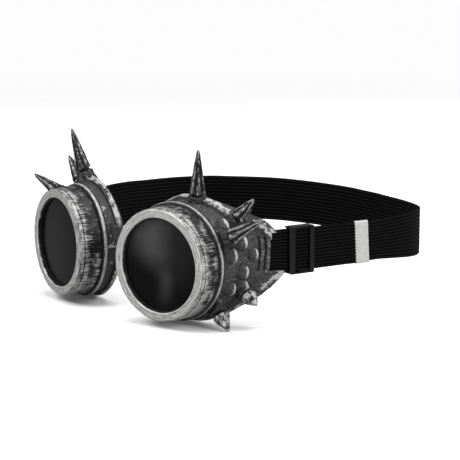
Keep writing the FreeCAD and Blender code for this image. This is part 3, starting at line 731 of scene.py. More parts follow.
def eye_cup(side, seed):
    n = 480
    th = np.arange(n) / n * PI2
    ct, sn = np.cos(th), np.sin(th)
    hand = 1.0 if side == "left" else -1.0
    rows = []

    def row(r, d):
        r = np.broadcast_to(r, (n,))
        rows.append(np.stack([r * ct, r * sn, np.broadcast_to(d, (n,))], 1))

    row(12.0, 4.9); row(25.1, 4.9); row(25.4, 5.05)
    for d in np.arange(5.3, 12.31, 0.2):
        ph = (d / 2.0 + hand * th / PI2) % 1.0
        tri = 1 - np.abs(2 * ph - 1)
        row(25.35 + 0.6 * sstep(0.15, 0.85, tri) * float(sstep(5.3, 6.4, d)), d)
    row(25.5, 12.6); row(26.4, 12.72); row(28.2, 12.74)
    for r, d in BEAD + [(28.22, 15.26), (28.02, 15.4), (28.0, 15.62), (28.2, 15.85)]:
        q = np.stack([ct * 8, sn * 8, np.full(n, d)], 1)
        row(r + (0.05 * vnoise(q, seed + 5) if r > 28.5 else 0), d)
    deep = 1.0 + 0.45 * wing(th)
    groove = rim_at(th, 0.0) - FLANGE_DEEP * deep - 0.55
    for k in range(58):
        d = 16.1 + (groove - 16.1) * k / 57.0
        r = wall_r(th, d)
        q = np.stack([r * ct, r * sn, d], 1)
        grain = 0.10 * vnoise(q * 0.55, seed) + 0.06 * vnoise(q * 1.3, seed + 1)
        row(r + grain * min(1.0, k / 3.0), d)
    row(wall_r(th, groove + 0.15) - 0.28, groove + 0.14)
    row(wall_r(th, groove + 0.3) - 0.42, groove + 0.3)
    row(wall_r(th, groove + 0.45) - 0.36, groove + 0.48)
    for off, back in [(0.3, 3.62), (0.9, 3.55), (1.28, 3.36), (1.48, 3.05), (1.54, 2.7), (1.48, 2.3), (1.38, 2.0), (1.42, 1.8),
                      (1.62, 1.6), (1.78, 1.36), (1.8, 1.12), (1.68, .92), (1.42, .78), (1.3, .6), (1.24, .34), (1.0, .12),
                      (.6, 0.02), (0.0, 0.0), (-1.0, 0.0), (-4.0, 0.0)]:
        d = rim_at(th, off) - back * deep
        q = np.stack([ct * 20, sn * 20, d], 1)
        dent = 0.17 * vnoise(q * 0.4, seed + 7) + 0.08 * vnoise(q * 1.2, seed + 8) if off > 1.2 else 0.0
        row(wall_r(th, d) + off + dent, d)
    row(8.0, 24.4)
    outer = rows_solid(rows, np.array([0, 0, 4.9]), np.array([0, 0, 24.4]))

    rows = []
    row(14.0, 2.0); row(23.2, 2.0); row(23.2, 5.0); row(23.2, 14.9); row(23.35, 15.3); row(23.8, 15.5); row(25.4, 15.55)
    for d in (15.9, 17.0, 19.0, 21.0):
        row(wall_r(th, d) - WALL, d)
    rim_in = rim_at(th, -WALL)
    for k in range(1, 11):
        d = 21.0 + (rim_in - 0.7 - 21.0) * k / 10.0
        row(wall_r(th, d) - WALL, d)
    for off, back in [(-2.3, .45), (-2.05, .2), (-1.65, 0.04), (-1.5, -.3), (-1.5, -12.0)]:
        row(wall_r(th, rim_in - back) + off, rim_in - back)
    row(10.0, rim_in + 12.0)
    inner = rows_solid(rows, np.array([0, 0, 2.0]), np.array([0, 0, 45.0]))

    bosses = [boss(f, q, seed * 10 + k) for k, (_, f, q, _) in enumerate(SPIKES[side])]
    hoods, scoops = [], []
    for ang, d in VENTS:
        c, en, ed, et = hood_frame(ang, d)
        k, c = (0.84, c - ed * 0.5) if d > 28 else (1.0, c - ed * 1.9)
        ex, ez = ed * HOOD_C + en * HOOD_S, en * HOOD_C - ed * HOOD_S
        hoods.append(ellipsoid(c + en * 0.1, ex * 3.8 * k, et * 4.1 * k, ez * 1.7))
        er = c - np.array([0, 0, c[2]])
        er /= np.linalg.norm(er)
        scoops.append(tube(c + ed * 2.8 * k - er * 6.0, c + ed * 2.8 * k + er * 0.5, 0.85))
    holes, bores = [], []
    for name, f, q, _ in SPIKES[side]:
        p, a, e1, e2, h = axis_frame(f, q)
        near = name in ("spike_side", "short_spike_front")   # these stand close behind the shoulder bead
        holes.append(tube(p - a * 4.0, p + a * 2.0, 1.3))
        bores.append(tube(p - a * 4.9, p - a * 3.1, 2.6) if near else tube(p - a * 16.0, p - a * 3.1, 3.0))
    ops = [("UNION", b) for b in bosses] + [("UNION", h) for h in hoods] + [("DIFFERENCE", inner)]
    ops += [("DIFFERENCE", b) for b in scoops] + [("DIFFERENCE", h) for h in holes + bores]
    for d0, d1 in SLITS:
        q = np.array([(u, w, d) for u in (30.0, 54.0) for w in (-3.0, 14.0) for d in (d0, d1)])
        ops.append(("DIFFERENCE", outward(q, [[0, 1, 3, 2], [4, 6, 7, 5], [0, 4, 5, 1], [2, 3, 7, 6], [0, 2, 6, 4], [1, 5, 7, 3]])))
    z0, z1 = SIDE_Z
    tabs = [in_cup(strap_block(-2.6, 2.6, -2.6, 9.0, z1 + 0.5, z1 + 3.0)), in_cup(strap_block(-2.6, 2.6, -2.6, 9.0, z0 - 3.0, z0 - 0.5))]
    tabs = [csg(q, [("INTERSECT", outer)]) for q in tabs]
    bar = tube(*row_to_cup(np.array([BAR + (0, 0, z0 - 2.0), BAR + (0, 0, z1 + 2.0)])), 1.3)
    ops.append(("DIFFERENCE", in_cup(strap_block(-3.2, 30, -3.0, 3.0, z0 - 0.4, z1 + 0.4))))
    ops += [("UNION", t) for t in tabs] + [("UNION", bar)] + [("DIFFERENCE", b) for b in bores]
    ops.append(("UNION", bead_ring(n, seed)))
    ops.append(("DIFFERENCE", in_cup(strap_block(7.2, 30, -3.0, 3.2, z0 - 0.4, z1 + 0.4))))
    ops.append(("DIFFERENCE", in_cup(strap_block(7.2, 30, 2.0, 16.0, z0 + 1.1, z1 + 0.3))))
    ops.append(("DIFFERENCE", tube(*row_to_cup(np.array([(15.9, -12.4, 3.5), (15.9, -12.4, 11.7)])), 2.4)))
    q = np.array([(x, y, z) for x in (5.0, 16.4) for y in (-12.4 - 1.1, -12.4 + 1.1) for z in (3.5, 11.7)])
    ops.append(("DIFFERENCE", in_cup((q, [[0, 1, 3, 2], [4, 6, 7, 5], [0, 4, 5, 1], [2, 3, 7, 6], [0, 2, 6, 4], [1, 5, 7, 3]]))))
    v, f = csg(outer, ops)

    # where the silver sits, with painted highlights and shadows mixed in at the vents, the nose side and the lower
    # flange
    t = np.arctan2(v[:, 1], v[:, 0])
    rho = np.hypot(v[:, 0], v[:, 1])
    d = v[:, 2]
    off = rho - wall_r(t, d)
    back = (rim_face(v[:, 0], v[:, 1]) - d) / (1.0 + 0.45 * wing(t))
    sil = np.full(len(v), 0.09)
    sil += 0.10 * sstep(0, 1, vnoise(v * 0.11, seed + 20))
    # Nose side: silver wear, partly a painted sheen that stands in for glossy highlight streaks.
    nose = sstep(rad(95), rad(135), np.abs(t)) * (d > 15.4)
    warp = vnoise(v * 0.35, seed + 25)
    wear_and_sheen = vnoise(np.stack([t * 8.0 + 0.9 * warp, d * 0.2 + 0.6 * vnoise(v * 0.3, seed + 26), np.zeros(len(v))], 1), seed + 21) + 0.5 * vnoise(v * 0.5, seed + 22)
    sil += nose * (0.95 * sstep(0.15, 1.0, wear_and_sheen) - 0.12)
    fl = (back < 4.3) & (off > -0.8) & (d > 16)
    blot = vnoise(np.stack([t * 6.5 + 1.1 * warp, back * 0.5 + 0.5 * warp, np.zeros(len(v))], 1), seed + 23)
    blot += 0.6 * vnoise(np.stack([t * 17.0 + 0.8 * warp, back * 0.9, np.ones(len(v))], 1), seed + 24)
    blot += wing(t) * (1.3 * vnoise(v * 0.42, seed + 27) + 0.8 * vnoise(v * 1.1, seed + 28) - np.where(t > 0, 0.6, 0.42))
    edge = sstep(0.7, 1.4, off) * (0.30 + 0.30 * sstep(1.0, 0.6, np.abs(back - 1.6) * 1.3) - 0.80 * sstep(1.2, 0.6, back) + 0.62 * blot)
    # Painted highlight streak along the lower wing's flange.
    edge += 0.5 * sstep(0.7, 1.4, off) * sstep(rad(26), rad(30), -t) * sstep(rad(45), rad(41), -t)
    sil = np.where(fl, np.maximum(edge, 0.02), sil)
    sil = np.where((off < -0.9) & (d > 15.4), 0.0, sil)
    sil = np.where(rho < 26.4, 0.04, sil)
    for _, f0, q0, _ in SPIKES[side]:
        p, a, e1, e2, h = axis_frame(f0, q0)
        rel = v - p
        z = rel @ a
        rr = np.linalg.norm(rel - np.outer(z, a), axis=1)
        near = (rr < 5.2) & (z > -9.6) & (z < -0.5) & (off > 0.25)
        top = sstep(-2.4, -1.2, z) * sstep(3.2, 4.1, rr)
        sil = np.where(near, -0.32 + 0.40 * top, sil)
    patchy = sstep(-0.1, 0.6, vnoise(v * 0.62, seed + 31))
    for ang, dv in VENTS:
        c, en, ed, et = hood_frame(ang, dv)
        k, c = (0.84, c - ed * 0.5) if dv > 28 else (1.0, c - ed * 1.9)
        rel = v - c
        x, y, z = rel @ ed, rel @ et, rel @ en
        x2, z2 = x * HOOD_C + (z - 0.1) * HOOD_S, (z - 0.1) * HOOD_C - x * HOOD_S
        e = np.sqrt((x2 / 3.8 / k) ** 2 + (y / 4.1 / k) ** 2 + (z2 / 1.7) ** 2)
        near = (np.abs(e - 1) < 0.1) & (z > 0.1)
        # Hood paint: silver on the raised rear half and the lip, with a painted highlight at the rear-top; the dome's
        # front gets painted shade and its underside a painted shadow.
        lip_silver_and_highlight = (0.18 + 0.50 * patchy) * sstep(-0.6 * k, 1.8 * k, x) * sstep(0.6, 1.2, z) + 1.5 * sstep(1.4 * k, 2.6 * k, x) * sstep(0.7, 1.4, z)
        # Painted shadow on the wall behind each hood, under its lifted rear lip.
        shade = 0.40 * sstep(1.7, 1.1, e) * sstep(1.2, 2.8, x)
        sil = np.where(near, np.where(z2 < -0.5, -0.3, sil - 0.18 + lip_silver_and_highlight), np.where((e < 1.7) & (z < 0.4) & (x > 0) & (off > -0.6), sil - shade, sil))
    bar_zone = (d > 35.7) & (np.abs(v[:, 1] - 5.5) < 10.5) & (v[:, 0] > 20) & (off > -0.6) & (off < 0.6)
    sil = np.where(bar_zone, 0.27, sil)
    rib = (d > 32.85) & (d < 34.35) & (np.abs(v[:, 1] - 5.5) < 9) & (v[:, 0] > 20) & (off > -0.6) & (off < 0.6)
    sil = np.where(rib, 0.14, sil)
    bead = (d > 12.6) & (d < 15.3) & (rho > 26.5) & (rho < 29.7)
    sil = np.where(bead, sstep(28.95, 29.42, rho) * 0.85 - 0.12, sil)
    o = piece(side + "_eye_cup_shell", cup_to_row(v, side), f, CUP, {"silver": sil, "loc": v + seed * 57.0}, 38, flip=side == "left")
    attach(o, side + "_half")
    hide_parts(side + "_eye_cup")
    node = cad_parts[side + "_spike_screws"]
    node.data.materials.clear()
    node.data.materials.append(SCREW)


# --------------------------------------------------------------------- spikes
def long_spike(side, name, foot, tip, r, seed):
    p, a, e1, e2, h = axis_frame(foot, tip)
    n = 120
    t = np.arange(n) / n * PI2
    flutes = 6
    shade = {"spike_top": -0.24, "spike_mid": -0.13, "spike_side": -0.09}[name]
    f = np.cos(flutes * t + seed)
    valley = (0.5 - 0.5 * f) ** 1.4
    prof = [(-0.9, 2.3), (-0.9, 2.55), (-0.5, 2.6), (0.02, 2.62), (0.0, 3.3), (0.05, 3.75), (0.22, 4.0), (0.5, 4.1), (0.85, 4.08),
            (1.15, 3.98), (1.45, 3.84), (1.8, 3.76)]
    body = np.linspace(0, 1, 54)[1:]
    for k in body:
        z = 1.8 + (h - 1.8 - 0.35) * k
        rr = 3.74 * (1 - k) ** 0.76 * (1 - 0.12 * k) + 0.58 * k
        prof.append((z, rr))
    prof += [(h - 0.22, 0.52), (h - 0.1, 0.4), (h - 0.02, 0.2)]
    rows, silver, loc = [], [], []
    for z, rr in prof:
        rr = rr * r / 4.1
        k = (z - 1.6) / (h - 1.6)
        depth = 0.20 * float(sstep(0.3, 2.2, z)) * float(sstep(1.0, 0.72, k)) + 0.10 * float(sstep(0.02, 0.3, z)) * float(sstep(1.8, 0.8, z))
        ring = np.outer(np.cos(t), e1) + np.outer(np.sin(t), e2)
        zz = z + (-0.28 * f if 0.04 < z < 1.3 else 0.0)
        pts = p + np.outer(np.full(n, 1.0) * zz, a)
        rough = 0.10 * vnoise((pts + ring * rr) * 0.8, seed) + 0.05 * vnoise((pts + ring * rr) * 2.1, seed + 3)
        radius = rr * (1 - depth * valley) + rough * float(sstep(0.3, 1.5, z)) * float(sstep(0.0, 1.2, rr))
        rows.append(pts + ring * radius[:, None])
        ridge = sstep(0.75, 0.25, valley)
        sv = shade + 0.62 * ridge * float(sstep(0.2, 0.7, z)) + 0.25 * float(sstep(0.75, 0.97, k))
        if z < 0.3:
            sv = np.full(n, 0.02)
        silver.append(np.broadcast_to(sv, (n,)))
        loc.append(np.stack([np.cos(t) * rr, np.sin(t) * rr, np.full(n, z)], 1) + seed * 13.7)
    v, fc = rows_solid(rows, p - a * 0.9, p + a * h)
    sil = np.concatenate(silver + [np.array([0.0, 0.9])])
    lc = np.vstack(loc + [np.array([[0, 0, -0.9], [0, 0, h]]) + seed * 13.7])
    o = piece("%s_%s_cone" % (side, name), cup_to_row(v, side), fc, SPIKE, {"silver": sil, "loc": lc}, 40, flip=side == "left")
    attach(o, side + "_half")
    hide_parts("%s_%s" % (side, name))


def short_spike(side, name, foot, tip, r, seed):
    """Hammered, faceted stud."""
    p, a, e1, e2, h = axis_frame(foot, tip)
    rng = np.random.default_rng(seed)
    sides = 6
    me = bpy.data.meshes.new("stud")
    bm = bmesh.new()
    rings = []
    spec = [(-0.9, 2.6, 12, 0), (0.05, 2.6, 12, 0), (0.1, 0.80 * r, 12, 0.02), (0.95, 1.0 * r, 6, 0.05),
            (2.3, 0.86 * r, 6, 0.07), (0.62 * h, 0.50 * r, 6, 0.08), (h - 0.35, 0.13 * r, 6, 0.0)]
    for z, rr, m, jit in spec:
        ring = []
        for k in range(12):
            ang = PI2 * k / 12.0 + seed
            q = rr
            if m == 6:
                q = rr * (1.0 if k % 2 == 0 else 0.885)
            q *= 1 + jit * rng.uniform(-1, 1)
            zz = z + (jit * 3.0 * rng.uniform(-1, 1))
            ring.append(bm.verts.new(Vector(p + a * zz + (e1 * math.cos(ang) + e2 * math.sin(ang)) * q)))
        rings.append(ring)
    for r0, r1 in zip(rings, rings[1:]):
        for k in range(12):
            bm.faces.new((r0[k], r0[(k + 1) % 12], r1[(k + 1) % 12], r1[k]))
    bot = bm.verts.new(Vector(p - a * 0.9))
    top = bm.verts.new(Vector(p + a * h))
    for k in range(12):
        bm.faces.new((rings[0][(k + 1) % 12], rings[0][k], bot))
        bm.faces.new((rings[-1][k], rings[-1][(k + 1) % 12], top))
    bmesh.ops.triangulate(bm, faces=[x for x in bm.faces if len(x.verts) == 4], quad_method="LONG_EDGE")
    edges = [e for e in bm.edges if len(e.link_faces) == 2 and e.calc_face_angle() > rad(14)]
    bmesh.ops.bevel(bm, geom=edges, offset=0.16, segments=2, profile=0.6, affect="EDGES", clamp_overlap=True)
    bmesh.ops.remove_doubles(bm, verts=bm.verts, dist=1e-4)
    bmesh.ops.subdivide_edges(bm, edges=[e for e in bm.edges if e.calc_length() > 1.2], cuts=2, use_grid_fill=True)
    bmesh.ops.triangulate(bm, faces=[x for x in bm.faces if len(x.verts) > 4])
    bmesh.ops.recalc_face_normals(bm, faces=bm.faces)
    bm.to_mesh(me)
    bm.free()
    v = np.array([x.co for x in me.vertices])
    fc = [list(x.vertices) for x in me.polygons]
    bpy.data.meshes.remove(me)
    v, fc = outward(v, fc)
    rel = v - p
    z = rel @ a
    rr = np.linalg.norm(rel - np.outer(z, a), axis=1)
    pit = vnoise(v * 0.55, seed)
    keep = sstep(0.4, 1.4, z)
    v = v + (rel - np.outer(z, a)) / np.maximum(rr, 0.4)[:, None] * (0.12 * vnoise(v * 0.9, seed + 2) * keep * sstep(0.2, 1.2, rr))[:, None]
    sil = np.where(z < 0.5, -0.1, 0.54 + 0.62 * pit + 0.30 * vnoise(v * 1.3, seed + 6))
    lc = np.stack([rel @ e1, rel @ e2, z], 1) + seed * 11.3
    o = piece("%s_%s_stud" % (side, name), cup_to_row(v, side), fc, STUD, {"silver": sil, "loc": lc}, 12, flip=side == "left")
    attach(o, side + "_half")
    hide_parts("%s_%s" % (side, name))


# --------------------------------------------------------------------- bridge
def bridge():
    y0, z0, z1 = -12.4, 3.8, 11.4
    xs = np.concatenate([np.linspace(-15.9, -8, 12), np.linspace(-7.6, 7.6, 62), np.linspace(8, 15.9, 12)])
    zc, hh = (z0 + z1) / 2, (z1 - z0) / 2
    m = 44
    rows = []
    for x in xs:
        lift = float(sstep(8.0, 6.9, abs(x)))
        ring = []
        for k in range(m):
            a = PI2 * k / m
            cy, cz = math.cos(a), math.sin(a)
            e = 0.28
            y = math.copysign(abs(cy) ** e, cy) * 0.8
            z = math.copysign(abs(cz) ** e, cz) * hh
            if y < 0:
                y -= lift * 0.5 * float(sstep(hh - 1.5, hh - 1.15, abs(z))) * float(sstep(-0.35, -0.7, y))
            ring.append((x, y0 + y, zc + z * (0.97 + 0.03 * abs(x) / 15.9)))
        rows.append(np.array(ring))
    strip = rows_solid(rows, np.array([xs[0], y0, zc]), np.array([xs[-1], y0, zc]))
    beads = []
    for sx in (-1, 1):
        ring_rows = []
        t = np.arange(36) / 36 * PI2
        for z, r in [(z0, 1.5), (z0 + .1, 1.85), (z0 + .35, 2.08)] + [(z0 + .35 + (z1 - z0 - .7) * k / 8, 2.1) for k in range(1, 8)] + [(z1 - .35, 2.08), (z1 - .1, 1.85), (z1, 1.5)]:
            ring_rows.append(np.stack([sx * 15.9 + r * np.cos(t), y0 + r * np.sin(t), np.full(36, z)], 1))
        beads.append(rows_solid(ring_rows, np.array([sx * 15.9, y0, z0]), np.array([sx * 15.9, y0, z1])))
    v, f = csg(strip, [("UNION", b) for b in beads])
    o = piece("nose_bridge_strip", v, f, BRIDGE, None, 45)
    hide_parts("nose_bridge")
    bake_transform(o)


# ---------------------------------------------------------------------- strap
def polyline():
    """Centre line of the main strap, from the left lug fold round to the right one."""
    p0 = BAR + SN * 2.0
    flip = np.array([-1.0, 1.0, 1.0])
    pts = [p0, p0 + ST * 118.5, np.array([8.0, 148.0, 0]), np.array([-54.0, 136.0, 0]), (p0 + ST * 78.0) * flip, p0 * flip]
    radii = [35.0, 160.0, 45.0, 70.0]
    line = [pts[0]]
    cur = pts[0]
    for k in range(1, len(pts) - 1):
        p, a, b = pts[k], pts[k - 1], pts[k + 1]
        d0, d1 = (p - a) / np.linalg.norm(p - a), (b - p) / np.linalg.norm(b - p)
        turn = math.acos(float(np.clip(d0 @ d1, -1, 1)))
        tl = radii[k - 1] * math.tan(turn / 2)
        e0, e1 = p - d0 * tl, p + d1 * tl
        bis = (d1 - d0) / np.linalg.norm(d1 - d0)
        ctr = p + bis * (radii[k - 1] / math.cos(turn / 2))
        m = max(2, int(np.linalg.norm(e0 - cur)))
        line += [cur + (e0 - cur) * j / m for j in range(1, m + 1)]
        v0 = e0 - ctr
        sign = np.sign(np.cross(d0[:2], d1[:2]))
        m = max(2, int(radii[k - 1] * turn))
        for j in range(1, m + 1):
            ang = sign * turn * j / m
            ca, sa = math.cos(ang), math.sin(ang)
            line.append(ctr + np.array([v0[0] * ca - v0[1] * sa, v0[0] * sa + v0[1] * ca, 0]))
        cur = e1
    m = int(np.linalg.norm(pts[-1] - cur))
    line += [cur + (pts[-1] - cur) * j / m for j in range(1, m + 1)]
    return np.array(line)


def resample(line, step):
    seg = np.linalg.norm(np.diff(line, axis=0), axis=1)
    s = np.concatenate([[0], np.cumsum(seg)])
    m = int(round(s[-1] / step))
    q = np.linspace(0, s[-1], m + 1)
    return np.stack([np.interp(q, s, line[:, k]) for k in range(3)], 1), q


def webbing(name, line, width, zc, ribs, s_vals, seed, thick=0.6):
    """Ribbed elastic band on edge, swept along a line of points in the XY plane."""
    tan = np.gradient(line, axis=0)
    tan /= np.linalg.norm(tan, axis=1)[:, None]
    nor = np.stack([tan[:, 1], -tan[:, 0], np.zeros(len(tan))], 1)
    per = 8
    m = ribs * per
    vv = np.linspace(-0.5, 0.5, m + 1)
    rib = vv * ribs
    h = (thick - 0.19) + 0.19 * (0.5 + 0.5 * np.cos(PI2 * (rib + (0.5 if ribs % 2 == 0 else 0.0)))) ** 0.8
    endr = np.clip(np.minimum(vv + 0.5, 0.5 - vv) * ribs / 0.32, 0, 1)
    h = h * np.sqrt(1 - (1 - endr) ** 2)
    v2 = np.concatenate([vv, vv[-2:0:-1]])
    h2 = np.concatenate([h, -h[-2:0:-1]])
    side = np.concatenate([np.ones(m + 1), -np.ones(m - 1)])
    rows, loc = [], []
    for k in range(len(line)):
        w = width[k]
        rows.append(line[k] + np.outer(h2, nor[k]) + np.outer(v2 * w + zc[k], (0, 0, 1.0)))
        loc.append(np.stack([np.full(len(v2), s_vals[k]), v2 * ribs, side * 3.0 + seed], 1))
    a, b = rows[0].mean(0), rows[-1].mean(0)
    v, f = rows_solid(rows, a, b)
    return v, f, np.vstack(loc + [np.array([[s_vals[0], 0, seed], [s_vals[-1], 0, seed]])])


def fold(flip):
    """Half turn round the lug bar, from the inner layer to the outer one."""
    out = []
    for k in range(0, 19):
        a = math.pi * k / 18.0
        q = BAR + ST * (-2.0 * math.sin(a)) + SN * (-2.0 * math.cos(a))
        out.append(q * np.array([-1.0 if flip else 1.0, 1, 1]))
    return np.array(out)


def strap():
    main = polyline()
    main, s = resample(main, 1.0)
    k = np.arange(-24, 25)
    g = np.exp(-0.5 * (k / 7.0) ** 2)
    g /= g.sum()
    pad = np.concatenate([main[0] + (main[0] - main[1:25][::-1]), main, main[-1] + (main[-1] - main[-25:-1][::-1])])
    main = np.stack([np.convolve(pad[:, j], g, "valid") for j in range(3)], 1)
    total = s[-1]
    sr = total - s
    q = np.stack([s * 0.035, np.zeros(len(s)), np.zeros(len(s))], 1)
    calm = sstep(62, 86, s) * sstep(24, 50, sr)
    tan = np.gradient(main, axis=0)
    tan /= np.linalg.norm(tan, axis=1)[:, None]
    nor = np.stack([tan[:, 1], -tan[:, 0], np.zeros(len(tan))], 1)
    main = main + nor * (0.5 * vnoise(q, 3) * calm)[:, None]
    width = 19.9 + 5.0 * sstep(66, 112, s) - 5.0 * sstep(20, 8, sr)
    lean = np.interp(s, [0, 34, 62, 74, 94, 112, 130, 150, 172, 196, 220, 244, 262, 280, 298, 322, 340, 352, 364, 374, 400],
                     [0, 0.0, 0.0, -0.85, -1.6, -2.4, -3.4, -3.0, -2.8, -2.3, -1.9, -1.8, -1.2, -0.4, 0.2, 0.8, 1.5, 1.9, 1.2, 0, 0])
    pad = np.concatenate([np.zeros(24), lean, np.zeros(24)])
    zc = 5.0 + 1.5 * sstep(60, 112, s) - 1.5 * sstep(20, 8, sr) + np.convolve(pad, g, "valid")
    slack = sstep(15.4, 20.0, s)   # the slider's window is filled from here on, over all its travel
    zc = zc + 0.12 * vnoise(q * 2.0, 5) * calm - 0.5 * slack * sstep(74, 62, s)
    width = width + 0.12 * vnoise(q * 3.0, 9) * calm + 1.4 * slack * sstep(78, 62, s)
    left_fold, right_fold = fold(False), fold(True)[::-1]
    run = np.arange(0.75, 20.01, 0.75)
    sewn = np.array([(BAR + ST * x + SN * q) * np.array([-1.0, 1, 1]) for x, q in zip(run, -2.0 + 2.82 * sstep(3.0, 14.5, run))])
    line = np.vstack([left_fold[:-1], main, right_fold[1:], sewn])
    wl, wr = width[0], width[-1]
    nl, nr = len(left_fold) - 1, len(right_fold) - 1 + len(sewn)
    width = np.concatenate([np.full(nl, wl), width, np.full(nr, wr)])
    zc = np.concatenate([np.full(nl, zc[0]), zc, np.full(nr, zc[-1])])
    ss = np.concatenate([[0], np.cumsum(np.linalg.norm(np.diff(line, axis=0), axis=1))])
    v, f, lc = webbing("strap", line, width, zc, 13, ss, 0.0)
    o = piece("head_strap", v, f, STRAP, {"loc": lc}, 60)
    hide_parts("strap_left", "strap_back", "strap_right")
    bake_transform(o)

    x = np.arange(0.0, 27.3, 0.75)
    x[0] = 0.02
    turn = np.linspace(-90.0, 38.0, 15)[1:]
    x, y = np.concatenate([x, 27.15 + 1.85 * np.cos(np.radians(turn))]), np.concatenate([np.full(len(x), -2.0), 2.0 * np.sin(np.radians(turn)) - 0.15])
    line = strap_pt(x, y, np.zeros(len(x)))
    x = np.concatenate([[0], np.cumsum(np.linalg.norm(np.diff(line, axis=0), axis=1))])
    v, f, lc = webbing("return", line, np.full(len(x), 19.6), np.full(len(x), 5.0), 13, x, 9.0)
    o = piece("strap_return_end", v, f, STRAP, {"loc": lc}, 60)
    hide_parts("strap_return")
    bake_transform(o)
    return total


def tag():
    """Blank sewn label across the strap, with a pinked front edge."""
    nz, ns = 72, 16
    rows, loc = [], []
    zz = np.linspace(-5.75, 16.15, nz)
    for face in (0, 1):
        for k in range(nz):
            z = zz[k] if face == 0 else zz[nz - 1 - k]
            ph = (z / 1.55) % 1.0
            jag = 0.34 * (abs(2 * ph - 1) * 2 - 1)
            s = np.linspace(61.0 + jag, 69.0, ns) - 0.06 * (z - 5.0)
            curl = 1.5 * float(sstep(15.6, 16.15, z)) + 1.5 * float(sstep(-5.3, -5.75, z))
            ribbed = 0.05 * math.cos(PI2 * (z - 5.0) / 20.8 * 13)
            n = 2.0 + 0.66 + ribbed + (0.26 if face == 0 else 0.0) - curl * 0.55
            n = n + 0.05 * np.sin(s * 1.3)
            rows.append(strap_pt(s, n * np.ones(ns), np.full(ns, z - 0.85)))
            loc.append(np.stack([s, np.full(ns, z), np.full(ns, 1.0 + face)], 1))
    v = np.vstack(rows)
    m = 2 * nz
    f = []
    for k in range(m):
        k1 = (k + 1) % m
        for j in range(ns - 1):
            f.append([k * ns + j, k * ns + j + 1, k1 * ns + j + 1, k1 * ns + j])
    for j in (0, ns - 1):
        for k in range(nz - 1):
            a, b = k, k + 1
            q = [a * ns + j, b * ns + j, (m - 1 - b) * ns + j, (m - 1 - a) * ns + j]
            f.append(q if j else q[::-1])
    me = to_mesh("tag_tmp", v, f)
    bm = bmesh.new()
    bm.from_mesh(me)
    bmesh.ops.recalc_face_normals(bm, faces=bm.faces)
    bm.to_mesh(me)
    bm.free()
    f = [list(x.vertices) for x in me.polygons]
    bpy.data.meshes.remove(me)
    v, f = outward(v, f)
    o = piece("strap_label", v, f, TAG, {"loc": np.vstack(loc)}, 40)
    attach(o, "left_half")
    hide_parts("strap_tag")


# --------------------------------------------------------------------- slider
def rounded_bar(p0, p1, ea, ra, eb, rb, power=0.5, n=40, ends=5, cap=0.8):
    """Bar from p0 to p1 with a soft-cornered section and rounded ends."""
    p0, p1 = np.asarray(p0, float), np.asarray(p1, float)
    h = np.linalg.norm(p1 - p0)
    a = (p1 - p0) / h
    t = np.arange(n) / n * PI2
    cx = np.sign(np.cos(t)) * np.abs(np.cos(t)) ** power
    cy = np.sign(np.sin(t)) * np.abs(np.sin(t)) ** power
    rows = []
    for k in range(ends + 1):
        g = math.pi / 2 * k / ends
        z, q = cap * (1 - math.sin(g)), 1 - math.cos(g)
        rows.append((cap - cap * math.sin(g), q))
    prof = [(cap * (1 - math.cos(math.pi / 2 * k / ends)), (cap * math.sin(math.pi / 2 * k / ends))) for k in range(ends + 1)]
    rings = []
    for z, ins in prof:
        k = ins - cap
        rings.append(p0 + a * z + np.outer(cx * (ra + k), ea) + np.outer(cy * (rb + k), eb))
    for z, ins in prof[::-1]:
        k = ins - cap
        rings.append(p1 - a * z + np.outer(cx * (ra + k), ea) + np.outer(cy * (rb + k), eb))
    return rows_solid(rings, p0, p1)


def corner_plate(s0, s1, z0, z1, r):
    """Plate with round corners that trims the slider's outline."""
    pts = []
    for cs, cz, a0 in ((s1 - r, z1 - r, 0), (s0 + r, z1 - r, 90), (s0 + r, z0 + r, 180), (s1 - r, z0 + r, 270)):
        pts += [(cs + r * math.cos(rad(a0 + 90.0 * j / 8)), cz + r * math.sin(rad(a0 + 90.0 * j / 8))) for j in range(9)]
    q = np.array(pts)
    rows = [strap_pt(q[:, 0], np.full(len(q), n), q[:, 1]) for n in (-3.0, 7.0)]
    return outward(*rows_solid(rows, rows[0].mean(0), rows[1].mean(0)))


def slider():
    s0, s1, z0, z1 = 19.7, 34.6, -7.4, 16.6

    def at(s, n, z):
        return strap_pt([s], [n], [z])[0]
    zz = np.array([0, 0, 1.0])
    parts = [
        rounded_bar(at(s0 + 1.75, 3.75, z0 + 0.05), at(s0 + 1.75, 3.75, z1 - 0.05), ST, 1.75, SN, 0.85, 0.95),
        rounded_bar(at(s1 - 1.3, 3.75, z0 + 0.05), at(s1 - 1.3, 3.75, z1 - 0.05), ST, 1.3, SN, 0.85, 0.95),
        rounded_bar(at((s0 + s1) / 2, 0.0, z0 + 0.2), at((s0 + s1) / 2, 0.0, z1 - 0.2), ST, 1.0, SN, 1.0, 0.8),
    ]
    rails = [rounded_bar(at(s0 + 0.25, 1.8, z0 + 0.55), at(s1 - 0.25, 1.8, z0 + 0.55), SN, 2.8, zz, 0.55, 0.5, cap=0.53),
             rounded_bar(at(s0 + 0.25, 1.8, z1 - 0.65), at(s1 - 0.25, 1.8, z1 - 0.65), SN, 2.8, zz, 0.65, 0.5, cap=0.63)]
    v, f = csg(rails[0], [("UNION", rails[1])] + [("UNION", p) for p in parts] + [("INTERSECT", corner_plate(s0, s1, z0, z1, 1.7))])
    o = piece("strap_slider_frame", v, f, SLIDER, None, 40)
    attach(o, "slider")
    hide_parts("strap_slider")


